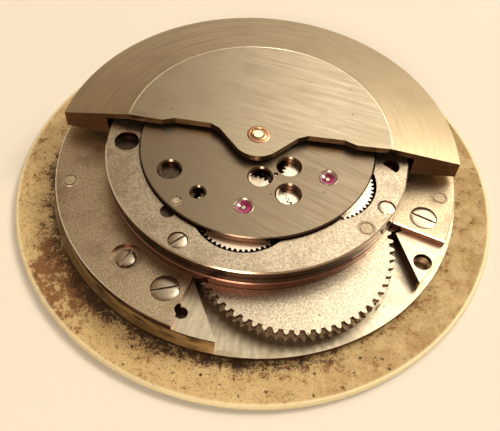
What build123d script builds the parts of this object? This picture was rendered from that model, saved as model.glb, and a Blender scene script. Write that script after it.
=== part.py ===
from build123d import *
import math
import os

os.makedirs("parts", exist_ok=True)

# Automatic watch movement lying on its dial, in millimetres.
# The frame: the movement's axis is Z, the dial's face is at z = 0, and the rotor is on top.
# The winding stem's bore runs along +X.

# Overall sizes
dial_radius = 15.2
dial_thickness = 0.40
seat_radius = 12.2
flange_radius = 12.7
plate_radius = 12.4
module_radius = 9.2
upper_bridge_radius = 7.13
rotor_radius = 12.3

# Heights from the dial's face, from the bottom up
plate_bottom = dial_thickness
flange_bottom = 0.70
floor_top = 1.00
plate_top = 1.85
bridge_top = 2.30
base_plate_top = 2.85
upper_bridge_bottom = 3.77
ring_top = 3.94
upper_bridge_top = 4.22
rotor_bottom = 4.45
rotor_top = 4.85
overrun = 0.5

# Clearances
running_gap = 0.04
fit_gap = 0.02
wheel_gap = 0.13
pocket_gap = 0.15
module_gap = 0.07

# Gear modules and counts of teeth
barrel_module, barrel_teeth, second_leaves = 0.160, 70, 10
second_module, second_teeth, third_leaves = 0.095, 80, 10
third_module, third_teeth, fourth_leaves = 0.080, 75, 10
fourth_module, fourth_teeth, escape_leaves = 0.075, 80, 8
cannon_drive_module, cannon_drive_teeth, drive_leaves = 0.09444, 64, 8
minute_module, cannon_leaves, minute_teeth, setting_teeth = 0.1417, 12, 36, 14
hour_module, minute_leaves, hour_teeth = 0.1360, 10, 40
winding_module, ratchet_teeth, driving_leaves, crown_teeth = 0.1853, 62, 6, 20
reverser_module, reverser_teeth, rotor_wheel_teeth = 0.09643, 56, 48
reduction_module, reduction_teeth, reverser_leaves = 0.0871, 60, 10
driving_module, driving_teeth, reduction_leaves = 0.0892, 58, 17
stem_wheel_module, stem_wheel_teeth = 0.0820, 14
escape_teeth, escape_radius = 15, 2.20

# How far teeth stand over and under the pitch circle, and how wide they are, as shares
addendum_share = 0.62
dedendum_share = 0.95
tooth_width_share = 0.44
tooth_tip_share = 0.16

# Directions of one axis from another, in degrees
barrel_bearing = -67.97
second_bearing = 152.9
escape_bearing = 38.0
pallet_bearing = 99.9
balance_bearing = 115.7
minute_bearing = 30.0
reverser_bearing = -96.8
second_reverser_bearing = 27.15
driving_bearing = 85.0
rotor_rest_angle = -5.2

# Centre distances that no pair of gears gives
barrel_distance = 6.397
pallet_distance = 2.61
balance_distance = 2.885


def pitch_radius(module, teeth):
    """Radius of a gear's pitch circle."""
    return module * teeth / 2


def polar(start, distance, degrees):
    """The point at a distance and a direction from another point."""
    angle = math.radians(degrees)
    return (start[0] + distance * math.cos(angle), start[1] + distance * math.sin(angle))


def bearing(start, end):
    """Direction from one point to another, in degrees."""
    return math.degrees(math.atan2(end[1] - start[1], end[0] - start[0]))


def meeting_point(first, first_distance, second, second_distance):
    """The point at a given distance from each of two points, left of the way between them."""
    span = math.dist(first, second)
    along = (first_distance**2 - second_distance**2 + span**2) / (2 * span)
    aside = math.degrees(math.acos(along / first_distance))
    return polar(first, first_distance, bearing(first, second) + aside)


def mesh_phase(driver, driver_teeth, driver_phase, driven, driven_teeth):
    """Phase in degrees that puts a gap of the driven gear over the driver's tooth."""
    towards = bearing(driver, driven)
    tooth_shift = (towards - driver_phase) * driver_teeth / 360
    return towards + 180 + (tooth_shift + 1 / 2) * 360 / driven_teeth


# Places of the axes
centre = (0, 0)
barrel_at = polar(centre, barrel_distance, barrel_bearing)
second_at = polar(barrel_at, pitch_radius(barrel_module, barrel_teeth + second_leaves), second_bearing)
third_at = meeting_point(
    second_at, pitch_radius(second_module, second_teeth + third_leaves),
    centre, pitch_radius(third_module, third_teeth + fourth_leaves),
)
escape_at = polar(centre, pitch_radius(fourth_module, fourth_teeth + escape_leaves), escape_bearing)
pallet_at = polar(escape_at, pallet_distance, pallet_bearing)
balance_at = polar(pallet_at, balance_distance, balance_bearing)
minute_at = polar(centre, pitch_radius(minute_module, cannon_leaves + minute_teeth), minute_bearing)
setting_reach = pitch_radius(minute_module, minute_teeth + setting_teeth)
setting_at = (minute_at[0] + math.sqrt(setting_reach**2 - minute_at[1] ** 2), 0)
crown_reach = pitch_radius(winding_module, ratchet_teeth + crown_teeth)
crown_at = (barrel_at[0] + math.sqrt(crown_reach**2 - barrel_at[1] ** 2), 0)
reverser_reach = pitch_radius(reverser_module, reverser_teeth + rotor_wheel_teeth)
reverser_1_at = polar(centre, reverser_reach, reverser_bearing)
reverser_2_at = polar(
    reverser_1_at, 2 * pitch_radius(reverser_module, reverser_teeth), second_reverser_bearing
)
reduction_reach = pitch_radius(reduction_module, reduction_teeth + reverser_leaves)
reduction_at = meeting_point(reverser_1_at, reduction_reach, reverser_2_at, reduction_reach)
driving_at = polar(
    barrel_at, pitch_radius(winding_module, ratchet_teeth + driving_leaves), driving_bearing
)

# Arbors and jewels
pivot_radius = 0.10
arbor_radius = 0.20
slim_arbor_radius = 0.12
jewel_radius = 0.30
jewel_thickness = 0.18
jewel_bottom = floor_top - jewel_thickness
pivot_bottom = 0.84
upper_jewel_bottom = 2.00
pivot_top = 2.15
arbor_bottom = 1.04
arbor_top = 1.95
wheel_hub_radius = 0.62
rim_width = 0.42
spoke_width = 0.34


def disc_face(place, radius, height):
    """A round face."""
    with BuildSketch(Plane.XY.offset(height)) as face:
        with Locations(place):
            Circle(radius)
    return face.sketch


def ring_face(place, outer, inner, height):
    """A flat ring."""
    with BuildSketch(Plane.XY.offset(height)) as face:
        with Locations(place):
            Circle(outer)
            Circle(inner, mode=Mode.SUBTRACT)
    return face.sketch


def outline_face(points, height):
    """A face inside straight lines."""
    with BuildSketch(Plane.XY.offset(height)) as face:
        with BuildLine():
            Polyline(*points, close=True)
        make_face()
    return face.sketch


def lever_face(discs, height):
    """The hull of a few (place, radius) discs, as a lever's or a bar's outline."""
    with BuildSketch(Plane.XY.offset(height)) as face:
        for place, radius in discs:
            with Locations(place):
                Circle(radius)
        make_hull()
    return face.sketch


def tooth_points(place, module, teeth, phase):
    """Outline of a gear, four points to a tooth."""
    pitch = pitch_radius(module, teeth)
    tip, root = pitch + addendum_share * module, pitch - dedendum_share * module
    shares = ((root, -tooth_width_share / 2 - tooth_tip_share / 2), (pitch, -tooth_width_share / 2),
              (tip, -tooth_tip_share / 2), (tip, tooth_tip_share / 2), (pitch, tooth_width_share / 2),
              (root, tooth_width_share / 2 + tooth_tip_share / 2))
    return [
        polar(place, radius, phase + (tooth + share) * 360 / teeth)
        for tooth in range(teeth)
        for radius, share in shares
    ]


def gear_face(place, module, teeth, phase, height, hole=0):
    """A gear's face, with a hole for its arbor."""
    with BuildSketch(Plane.XY.offset(height)) as face:
        with BuildLine():
            Polyline(*tooth_points(place, module, teeth, phase), close=True)
        make_face()
        if hole:
            with Locations(place):
                Circle(hole, mode=Mode.SUBTRACT)
    return face.sketch


def spoked_gear_face(place, module, teeth, phase, height, hole, spokes, hub=wheel_hub_radius):
    """A gear's face with a rim, spokes and a hub."""
    inner = pitch_radius(module, teeth) - dedendum_share * module - rim_width
    with BuildSketch(Plane.XY.offset(height)) as windows:
        with Locations(place):
            Circle(inner)
            Circle(hub, mode=Mode.SUBTRACT)
        for spoke in range(spokes):
            with Locations(Location(polar(place, inner / 2, spoke * 360 / spokes), spoke * 360 / spokes)):
                Rectangle(inner, spoke_width, mode=Mode.SUBTRACT)
    with BuildSketch(Plane.XY.offset(height)) as face:
        add(gear_face(place, module, teeth, phase, height, hole))
        add(windows.sketch, mode=Mode.SUBTRACT)
    return face.sketch


def save(builder, name):
    """Label a finished piece and write its file."""
    builder.part.label = name
    export_step(builder.part, f"parts/{name}.step")


def jewel(place, bottom, hole=pivot_radius + running_gap, radius=jewel_radius,
          thickness=jewel_thickness):
    """A pierced jewel, added to the part being made."""
    extrude(ring_face(place, radius, hole, bottom), amount=thickness)


# Dial
dial_hole_radius = 1.00
dial_chamfer = 0.10
foot_radius = 0.35
foot_top = 0.92
foot_distance = 11.9
foot_bearings = (-50.4, 129.6)

with BuildPart() as dial:
    extrude(ring_face(centre, dial_radius, dial_hole_radius, 0), amount=dial_thickness)
    chamfer(dial.edges().filter_by(GeomType.CIRCLE).sort_by(SortBy.RADIUS)[-2:], dial_chamfer)
    for direction in foot_bearings:
        foot_at = polar(centre, foot_distance, direction)
        extrude(disc_face(foot_at, foot_radius, dial_thickness), amount=foot_top - dial_thickness)
save(dial, "dial")

# Sizes that the main plate shares with the pieces in it
barrel_bottom = 0.92
barrel_teeth_bottom, barrel_teeth_top = 0.96, 1.16
drum_radius = 5.20
drum_top = 1.40
barrel_pocket_radius = pitch_radius(barrel_module, barrel_teeth) + barrel_module + pocket_gap
barrel_pocket_bottom = 0.90
motion_recess_top = 0.80
ratchet_pocket_radius = pitch_radius(winding_module, ratchet_teeth) + winding_module + wheel_gap / 2
balance_radius = 4.40
balance_gap = 0.20
balance_cut_radius = balance_radius + balance_gap
stud_radius = 0.20
tube_radius = 0.38
seconds_radius = 0.26
stem_height = 1.35
stem_bore_radius = 0.45
stem_slot_start, stem_slot_end, stem_slot_width = 6.95, 9.55, 1.50

# Front opening of the main plate, where the barrel shows: shares of the plate's radius
left_apex_shares = (-0.2524, -0.6919)
left_corner_shares = (-0.1306, -0.9806)
right_apex_shares = (0.6806, -0.3355)
right_corner_shares = (0.7782, -0.6347)
beyond_rim_share = 1.2
casing_hole_shares = (0.8016, -0.5153)
casing_hole_radius = 0.55
facet_hole_shares = (-0.2871, -0.8637)
facet_hole_radius = 0.36


def share_of(size, shares):
    """A place given as shares of a size."""
    return (size * shares[0], size * shares[1])


left_apex = share_of(plate_radius, left_apex_shares)
left_corner = share_of(plate_radius, left_corner_shares)
right_apex = share_of(plate_radius, right_apex_shares)
right_corner = share_of(plate_radius, right_corner_shares)
casing_hole_at = share_of(plate_radius, casing_hole_shares)
facet_hole_at = share_of(plate_radius, facet_hole_shares)

# Fasteners of the bridges: shares of the plate's radius
left_screw_shares = (-0.5653, -0.6169)
end_screw_shares = (-0.3685, -0.7669)
right_screw_shares = (0.8194, -0.2839)
left_pin_shares = (-0.9073, -0.1944)
right_pin_shares = (0.9129, -0.1548)
far_screw_shares = (-0.6290, 0.5323)
far_right_screw_shares = (0.8065, 0.3548)
left_screw_at = share_of(plate_radius, left_screw_shares)
end_screw_at = share_of(plate_radius, end_screw_shares)
right_screw_at = share_of(plate_radius, right_screw_shares)
left_pin_at = share_of(plate_radius, left_pin_shares)
right_pin_at = share_of(plate_radius, right_pin_shares)
far_screw_at = share_of(plate_radius, far_screw_shares)
far_right_screw_at = share_of(plate_radius, far_right_screw_shares)
pin_radius = 0.50
screw_shank_radius = 0.42
screw_depth = 0.75
screw_bottom = plate_top - screw_depth
slot_width = 0.20
slot_depth = 0.10

# Balance cock and pallet bridge feet
cock_foot_distance, cock_foot_bearing = 5.46, 23.7
cock_foot_at = polar(balance_at, cock_foot_distance, cock_foot_bearing)
pallet_foot_distance, pallet_foot_bearing = 3.40, -10.0
pallet_foot_at = polar(pallet_at, pallet_foot_distance, pallet_foot_bearing)
pallet_foot_radius = 0.62
pallet_screw_radius = 0.25
pallet_cavity_radius = 1.70

# Arm of the barrel bridge, under the ratchet wheel
arm_bearing = 25.0
arm_reach = 7.30
arm_half_width = 1.10
arm_disc_radius = 2.20
arm_bottom = 1.55
arm_end = polar(barrel_at, arm_reach, arm_bearing)

# Setting levers, in a recess on the dial's side
yoke_pivot_at = (stem_slot_start + stem_slot_width / 2, 2 * stem_slot_width)
setting_lever_at = (stem_slot_end + stem_slot_width / 2, -stem_slot_width)
lever_bottom, lever_top = 0.58, 0.72
lever_recess_half = 3.40
lever_recess_start, lever_recess_end = 6.20, 11.20

# Foot screws, in notches of the flange
foot_screw_radius = 0.21
foot_notch_depth = 0.45
foot_notch_width = 0.90
foot_notch_top = 0.90
foot_screw_height = (plate_bottom + foot_notch_top) / 2

train_pockets = (
    (second_at, pitch_radius(second_module, second_teeth) + second_module + pocket_gap),
    (third_at, pitch_radius(third_module, third_teeth) + third_module + pocket_gap),
    (centre, pitch_radius(fourth_module, fourth_teeth) + fourth_module + pocket_gap),
    (escape_at, escape_radius + pocket_gap),
    (pallet_at, pallet_cavity_radius),
    (balance_at, balance_cut_radius),
)
motion_recesses = (
    (centre, pitch_radius(cannon_drive_module, cannon_drive_teeth) + cannon_drive_module + pocket_gap),
    (third_at, pitch_radius(cannon_drive_module, drive_leaves) + cannon_drive_module + pocket_gap),
    (minute_at, pitch_radius(minute_module, minute_teeth) + minute_module + pocket_gap),
    (setting_at, pitch_radius(minute_module, setting_teeth) + minute_module + pocket_gap),
)
jewelled_holes = (second_at, third_at, escape_at, pallet_at, balance_at)
bridge_screws_at = (
    left_screw_at, end_screw_at, right_screw_at, far_screw_at, far_right_screw_at, cock_foot_at,
)


def stem_plane(reach):
    """A plane across the stem's axis, seen from outside the movement."""
    return Plane(origin=(reach, 0, stem_height), x_dir=(0, 1, 0), z_dir=(1, 0, 0))


def radial_plane(direction, distance, height):
    """A plane square to a radius of the movement."""
    place = polar(centre, distance, direction)
    outward = polar(centre, 1, direction)
    return Plane(origin=(*place, height), x_dir=(-outward[1], outward[0], 0), z_dir=(*outward, 0))


with BuildPart() as main_plate:
    extrude(disc_face(centre, seat_radius, plate_bottom), amount=flange_bottom - plate_bottom)
    extrude(disc_face(centre, flange_radius, flange_bottom), amount=floor_top - flange_bottom)
    extrude(disc_face(centre, plate_radius, floor_top), amount=plate_top - floor_top)
    front_opening = (
        left_apex, left_corner, (left_corner[0], left_corner[1] * beyond_rim_share),
        (right_corner[0] * beyond_rim_share, left_corner[1] * beyond_rim_share),
        (right_corner[0] * beyond_rim_share, right_corner[1]), right_corner, right_apex, barrel_at,
    )
    extrude(outline_face(front_opening, floor_top), amount=overrun * 2, mode=Mode.SUBTRACT)
    extrude(disc_face(barrel_at, barrel_pocket_radius, barrel_pocket_bottom),
            amount=overrun * 2, mode=Mode.SUBTRACT)
    for place, radius in train_pockets:
        extrude(disc_face(place, radius, floor_top), amount=overrun * 2, mode=Mode.SUBTRACT)
    for place, radius in motion_recesses:
        extrude(disc_face(place, radius, plate_bottom), amount=motion_recess_top - plate_bottom,
                mode=Mode.SUBTRACT)
    pallet_slot = lever_face(((pallet_at, pallet_foot_radius + pocket_gap),
                              (pallet_foot_at, pallet_foot_radius + pocket_gap)), floor_top)
    extrude(pallet_slot, amount=overrun * 2, mode=Mode.SUBTRACT)
    with BuildSketch(Plane.XY.offset(plate_bottom)):
        with Locations(((lever_recess_start + lever_recess_end) / 2, 0)):
            RectangleRounded(lever_recess_end - lever_recess_start, 2 * lever_recess_half,
                             lever_recess_half / 4)
    extrude(amount=motion_recess_top - plate_bottom, mode=Mode.SUBTRACT)
    arm_slot = lever_face(((barrel_at, arm_half_width + pocket_gap),
                           (arm_end, arm_half_width + pocket_gap)), arm_bottom - pocket_gap)
    extrude(arm_slot, amount=overrun, mode=Mode.SUBTRACT)
    for place in jewelled_holes:
        extrude(disc_face(place, jewel_radius, jewel_bottom), amount=jewel_thickness,
                mode=Mode.SUBTRACT)
    extrude(disc_face(third_at, slim_arbor_radius + running_gap, motion_recess_top),
            amount=floor_top - motion_recess_top, mode=Mode.SUBTRACT)
    extrude(disc_face(centre, tube_radius, plate_bottom), amount=floor_top, mode=Mode.SUBTRACT)
    for place in (second_at, escape_at, pallet_at, balance_at):
        extrude(disc_face(place, pivot_radius + running_gap, motion_recess_top), both=True,
                amount=fit_gap, mode=Mode.SUBTRACT)
    for place in bridge_screws_at:
        extrude(disc_face(place, screw_shank_radius + fit_gap, screw_bottom), amount=overrun * 2,
                mode=Mode.SUBTRACT)
    for place in (left_pin_at, right_pin_at):
        extrude(disc_face(place, pin_radius, floor_top), amount=overrun * 2, mode=Mode.SUBTRACT)
    extrude(disc_face(casing_hole_at, casing_hole_radius, floor_top), amount=overrun * 2,
            mode=Mode.SUBTRACT)
    extrude(disc_face(facet_hole_at, facet_hole_radius, floor_top), amount=overrun * 2,
            mode=Mode.SUBTRACT)
    extrude(disc_face(pallet_foot_at, pallet_screw_radius + fit_gap, motion_recess_top),
            amount=overrun, mode=Mode.SUBTRACT)
    with BuildSketch(Plane.XY.offset(plate_bottom)):
        with Locations(((stem_slot_start + stem_slot_end) / 2, 0)):
            Rectangle(stem_slot_end - stem_slot_start, stem_slot_width)
    extrude(amount=overrun * 4, mode=Mode.SUBTRACT)
    with BuildSketch(stem_plane(stem_slot_end)):
        Circle(stem_bore_radius)
    extrude(amount=plate_radius, mode=Mode.SUBTRACT)
    for direction in foot_bearings:
        foot_at = polar(centre, foot_distance, direction)
        extrude(disc_face(foot_at, foot_radius + fit_gap, plate_bottom),
                amount=foot_top + fit_gap - plate_bottom, mode=Mode.SUBTRACT)
        with BuildSketch(radial_plane(direction, flange_radius - foot_notch_depth, foot_screw_height)):
            Rectangle(foot_notch_width, foot_notch_top - plate_bottom)
        extrude(amount=overrun, mode=Mode.SUBTRACT)
        with BuildSketch(radial_plane(direction, foot_distance, foot_screw_height)):
            Circle(foot_screw_radius + fit_gap)
        extrude(amount=overrun, mode=Mode.SUBTRACT)
    for place in (minute_at, setting_at, yoke_pivot_at, setting_lever_at):
        extrude(disc_face(place, stud_radius, plate_bottom + fit_gap),
                amount=motion_recess_top - plate_bottom - fit_gap)
save(main_plate, "main_plate")

# Tube that carries the cannon pinion
tube_bore_radius = seconds_radius + running_gap
tube_bottom = 0.20
with BuildPart() as centre_tube:
    extrude(ring_face(centre, tube_radius, tube_bore_radius, tube_bottom),
            amount=floor_top - tube_bottom)
save(centre_tube, "centre_tube")

# Barrel
barrel_arbor_radius = 0.60
arbor_core_radius = 0.95
drum_wall = 0.22
drum_floor = 0.08
cover_thickness = 0.09
barrel_phase = 0.0
ratchet_bottom, ratchet_top = 1.95, 2.25
ratchet_square = 0.90

with BuildPart() as barrel_drum:
    extrude(disc_face(barrel_at, drum_radius, barrel_bottom), amount=drum_top - barrel_bottom)
    extrude(gear_face(barrel_at, barrel_module, barrel_teeth, barrel_phase, barrel_teeth_bottom),
            amount=barrel_teeth_top - barrel_teeth_bottom)
    extrude(disc_face(barrel_at, drum_radius - drum_wall, barrel_bottom + drum_floor),
            amount=overrun, mode=Mode.SUBTRACT)
    extrude(disc_face(barrel_at, barrel_arbor_radius + running_gap, barrel_bottom),
            amount=overrun, mode=Mode.SUBTRACT)
save(barrel_drum, "barrel_drum")

with BuildPart() as barrel_cover:
    extrude(ring_face(barrel_at, drum_radius - drum_wall, barrel_arbor_radius + running_gap,
                      drum_top - cover_thickness), amount=cover_thickness)
save(barrel_cover, "barrel_cover")

spring_bottom = barrel_bottom + drum_floor + fit_gap
spring_top = drum_top - cover_thickness - fit_gap
with BuildPart() as barrel_arbor:
    extrude(disc_face(barrel_at, barrel_arbor_radius, barrel_bottom),
            amount=ratchet_bottom - barrel_bottom)
    extrude(disc_face(barrel_at, arbor_core_radius, spring_bottom), amount=spring_top - spring_bottom)
    with BuildSketch(Plane.XY.offset(ratchet_bottom)):
        with Locations(barrel_at):
            Rectangle(ratchet_square, ratchet_square)
    extrude(amount=(ratchet_top - ratchet_bottom) / 3)
save(barrel_arbor, "barrel_arbor")


def spiral_face(place, inner, half_step, half_turns, strip, height):
    """A wound strip, as half circles about two centres, each a half step larger than the last."""
    with BuildSketch(Plane.XY.offset(height)) as face:
        with BuildLine():
            for half in range(half_turns):
                aside = half % 2
                CenterArc((place[0] + aside * half_step, place[1]), inner + half * half_step,
                          180 * aside, 180)
        trace(line_width=strip)
    return face.sketch


def spiral_gap(half_step, strip):
    """Least gap between one turn of a wound strip and the next."""
    return 2 * half_step - strip


mainspring_strip = 0.10
mainspring_half_turns = 12
mainspring_start = arbor_core_radius + mainspring_strip
mainspring_step = (drum_radius - drum_wall - 2 * mainspring_strip - mainspring_start) / mainspring_half_turns
print("mainspring gap", round(spiral_gap(mainspring_step, mainspring_strip), 3))
with BuildPart() as mainspring:
    extrude(spiral_face(barrel_at, mainspring_start, mainspring_step, mainspring_half_turns,
                        mainspring_strip, spring_bottom), amount=spring_top - spring_bottom)
save(mainspring, "mainspring")


def arbor(place, bottom, top, radius=arbor_radius):
    """A plain round arbor or pin, added to the part being made."""
    extrude(disc_face(place, radius, bottom), amount=top - bottom)


def leaves(place, module, teeth, phase, bottom, top):
    """A toothed length of arbor, added to the part being made."""
    extrude(gear_face(place, module, teeth, phase, bottom), amount=top - bottom)


# Going train: each wheel rides on its own pinion
wheel_thickness = 0.10
fourth_thickness = 0.08
second_wheel_bottom = 1.62
third_wheel_bottom = 1.12
fourth_wheel_bottom = 1.45
escape_wheel_bottom = 1.24
leaf_reach = 0.06
second_leaves_bottom, second_leaves_top = 1.04, 1.30
drive_leaves_bottom, drive_leaves_top = 0.66, 0.78
seconds_seat_radius = 0.10
seconds_bottom, seconds_shoulder = -0.95, -0.67
second_pinion_phase = mesh_phase(barrel_at, barrel_teeth, barrel_phase, second_at, second_leaves)
third_pinion_phase = mesh_phase(second_at, second_teeth, 0, third_at, third_leaves)
fourth_pinion_phase = mesh_phase(third_at, third_teeth, 0, centre, fourth_leaves)
escape_pinion_phase = mesh_phase(centre, fourth_teeth, 0, escape_at, escape_leaves)

with BuildPart() as second_pinion:
    arbor(second_at, pivot_bottom, pivot_top, pivot_radius)
    arbor(second_at, arbor_bottom, arbor_top)
    leaves(second_at, barrel_module, second_leaves, second_pinion_phase,
           second_leaves_bottom, second_leaves_top)
save(second_pinion, "second_pinion")

with BuildPart() as second_wheel:
    extrude(spoked_gear_face(second_at, second_module, second_teeth, 0, second_wheel_bottom,
                             arbor_radius, 5), amount=wheel_thickness)
save(second_wheel, "second_wheel")

with BuildPart() as third_pinion:
    arbor(third_at, drive_leaves_bottom, pivot_top, pivot_radius)
    arbor(third_at, drive_leaves_bottom, arbor_bottom, slim_arbor_radius)
    arbor(third_at, arbor_bottom, arbor_top)
    leaves(third_at, second_module, third_leaves, third_pinion_phase,
           second_wheel_bottom - leaf_reach, second_wheel_bottom + wheel_thickness + leaf_reach)
    leaves(third_at, cannon_drive_module, drive_leaves, 0, drive_leaves_bottom, drive_leaves_top)
save(third_pinion, "third_pinion")

with BuildPart() as third_wheel:
    extrude(spoked_gear_face(third_at, third_module, third_teeth, 0, third_wheel_bottom,
                             arbor_radius, 4), amount=wheel_thickness)
save(third_wheel, "third_wheel")

with BuildPart() as fourth_pinion:
    arbor(centre, seconds_bottom, seconds_shoulder, seconds_seat_radius)
    arbor(centre, seconds_shoulder, arbor_bottom, seconds_radius)
    arbor(centre, arbor_bottom, arbor_top)
    arbor(centre, arbor_top, pivot_top, pivot_radius)
    leaves(centre, third_module, fourth_leaves, fourth_pinion_phase,
           third_wheel_bottom - leaf_reach, third_wheel_bottom + wheel_thickness + leaf_reach)
save(fourth_pinion, "fourth_pinion")

with BuildPart() as fourth_wheel:
    extrude(spoked_gear_face(centre, fourth_module, fourth_teeth, 0, fourth_wheel_bottom,
                             arbor_radius, 4), amount=fourth_thickness)
save(fourth_wheel, "fourth_wheel")

escape_arbor_radius = 0.15
escape_root_share, escape_rim_share = 0.80, 0.68
escape_tooth_shares = ((0.0, 0), (0.34, 1), (0.46, 1), (0.30, 0))
escape_points = [
    polar(escape_at, escape_radius * (1 if at_tip else escape_root_share),
          (tooth + share) * 360 / escape_teeth)
    for tooth in range(escape_teeth)
    for share, at_tip in escape_tooth_shares
]
with BuildPart() as escape_wheel:
    with BuildSketch(Plane.XY.offset(escape_wheel_bottom)):
        with BuildLine():
            Polyline(*escape_points, close=True)
        make_face()
        add(ring_face(escape_at, escape_radius * escape_rim_share, wheel_hub_radius, escape_wheel_bottom),
            mode=Mode.SUBTRACT)
        for spoke in range(4):
            spoke_at = polar(escape_at, escape_radius * escape_rim_share / 2, spoke * 90)
            with Locations(Location(spoke_at, spoke * 90)):
                Rectangle(escape_radius * escape_rim_share, spoke_width / 2)
        with Locations(escape_at):
            Circle(escape_arbor_radius)
    extrude(amount=fourth_thickness)
    arbor(escape_at, pivot_bottom, pivot_top, pivot_radius)
    arbor(escape_at, arbor_bottom, arbor_top, escape_arbor_radius)
    leaves(escape_at, fourth_module, escape_leaves, escape_pinion_phase,
           fourth_wheel_bottom - leaf_reach, fourth_wheel_bottom + fourth_thickness + leaf_reach)
save(escape_wheel, "escape_wheel")

# Pallet fork and its stones
fork_bottom, fork_top = 1.34, 1.42
fork_horn_radius = 0.30
stone_length, stone_width = 0.30, 0.12
stone_spread = 30.0
roller_reach = 0.45
roller_jewel_radius = 0.07
fork_slot = 2 * roller_jewel_radius + 2 * running_gap
fork_end = polar(pallet_at, balance_distance - roller_reach - roller_jewel_radius, balance_bearing)
stones_at = [
    polar(escape_at, escape_radius + running_gap + stone_length / 2, pallet_bearing + side * stone_spread)
    for side in (-1, 1)
]
with BuildPart() as pallet_fork:
    arbor(pallet_at, pivot_bottom, fork_top + jewel_thickness / 2, pivot_radius)
    arbor(pallet_at, arbor_bottom, fork_top, slim_arbor_radius)
    extrude(lever_face(((pallet_at, arbor_radius), (fork_end, fork_horn_radius)), fork_bottom),
            amount=fork_top - fork_bottom)
    for stone_at in stones_at:
        extrude(lever_face(((pallet_at, arbor_radius), (stone_at, stone_width)), fork_bottom),
                amount=fork_top - fork_bottom)
    with BuildSketch(Plane.XY.offset(fork_bottom)):
        with Locations(Location(polar(fork_end, roller_reach / 2, balance_bearing), balance_bearing)):
            Rectangle(2 * roller_reach, fork_slot)
    extrude(amount=fork_top - fork_bottom, mode=Mode.SUBTRACT)
save(pallet_fork, "pallet_fork")

with BuildPart() as pallet_stones:
    with BuildSketch(Plane.XY.offset(escape_wheel_bottom)):
        for stone_at in stones_at:
            with Locations(Location(stone_at, bearing(escape_at, stone_at))):
                Rectangle(stone_length, stone_width)
    extrude(amount=fork_bottom - escape_wheel_bottom)
save(pallet_stones, "pallet_stones")

pallet_bridge_bottom, pallet_bridge_top = 1.46, 1.56
with BuildPart() as pallet_bridge:
    extrude(lever_face(((pallet_at, pallet_foot_radius / 2), (pallet_foot_at, pallet_foot_radius)),
                       pallet_bridge_bottom), amount=pallet_bridge_top - pallet_bridge_bottom)
    arbor(pallet_foot_at, floor_top, pallet_bridge_bottom, pallet_foot_radius)
    extrude(disc_face(pallet_at, pivot_radius + running_gap, pallet_bridge_bottom), amount=overrun,
            mode=Mode.SUBTRACT)
    extrude(disc_face(pallet_foot_at, pallet_screw_radius + fit_gap, floor_top), amount=overrun * 2,
            mode=Mode.SUBTRACT)
save(pallet_bridge, "pallet_bridge")

# Balance
balance_bottom, balance_top = 1.60, 1.85
balance_rim = 0.50
balance_arm_width = 0.50
balance_hub_radius = 0.60
balance_arm_bottom, balance_arm_top = 1.66, 1.78
staff_bottom, staff_top = 0.86, 2.45
staff_body_top = 2.30
roller_radius = 0.60
roller_bottom, roller_top = 1.44, 1.52
with BuildPart() as balance_wheel:
    extrude(ring_face(balance_at, balance_radius, balance_radius - balance_rim, balance_bottom),
            amount=balance_top - balance_bottom)
    with BuildSketch(Plane.XY.offset(balance_arm_bottom)):
        for arm in range(3):
            middle = (balance_radius - balance_rim / 2) / 2
            with Locations(Location(polar(balance_at, middle, 30 + arm * 120), 30 + arm * 120)):
                Rectangle(2 * middle, balance_arm_width)
        with Locations(balance_at):
            Circle(balance_hub_radius)
            Circle(arbor_radius, mode=Mode.SUBTRACT)
    extrude(amount=balance_arm_top - balance_arm_bottom)
save(balance_wheel, "balance_wheel")

with BuildPart() as balance_staff:
    arbor(balance_at, staff_bottom, staff_top, pivot_radius)
    arbor(balance_at, arbor_bottom, staff_body_top)
    arbor(balance_at, roller_bottom, roller_top, roller_radius)
    arbor(polar(balance_at, roller_reach, balance_bearing + 180), fork_bottom, roller_bottom,
          roller_jewel_radius)
save(balance_staff, "balance_staff")

hairspring_strip = 0.04
hairspring_start = 0.42
hairspring_half_step = 0.24
hairspring_half_turns = 8
hairspring_bottom, hairspring_top = 2.00, 2.12
print("hairspring gap", round(spiral_gap(hairspring_half_step, hairspring_strip), 3))
with BuildPart() as hairspring:
    extrude(spiral_face(balance_at, hairspring_start, hairspring_half_step, hairspring_half_turns,
                        hairspring_strip, hairspring_bottom), amount=hairspring_top - hairspring_bottom)
save(hairspring, "hairspring")

cock_bottom, cock_top = 2.25, 2.60
cock_nose_radius, cock_foot_radius = 1.25, 1.20
shock_radius = 0.62
shock_bottom, shock_top = 2.34, 2.70
stud_half = 0.10
outer_coil = hairspring_start + (hairspring_half_turns - 1) * hairspring_half_step
hairspring_end = (balance_at[0] + hairspring_half_step + outer_coil, balance_at[1])
stud_at = (hairspring_end[0] + hairspring_strip / 2 + stud_half, hairspring_end[1])
with BuildPart() as balance_cock:
    extrude(lever_face(((balance_at, cock_nose_radius), (stud_at, 4 * stud_half),
                        (cock_foot_at, cock_foot_radius)), cock_bottom), amount=cock_top - cock_bottom)
    chamfer(balance_cock.faces().sort_by(Axis.Z)[-1].edges(), fit_gap * 3)
    arbor(cock_foot_at, plate_top, cock_bottom, cock_foot_radius)
    extrude(disc_face(balance_at, balance_cut_radius, plate_top), amount=cock_bottom - plate_top,
            mode=Mode.SUBTRACT)
    for place, radius in ((balance_at, shock_radius), (stud_at, stud_half + fit_gap),
                          (cock_foot_at, screw_shank_radius + fit_gap)):
        extrude(disc_face(place, radius, plate_top), amount=overrun * 2, mode=Mode.SUBTRACT)
save(balance_cock, "balance_cock")

with BuildPart() as hairspring_stud:
    arbor(stud_at, hairspring_bottom, cock_top, stud_half)
save(hairspring_stud, "hairspring_stud")

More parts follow.
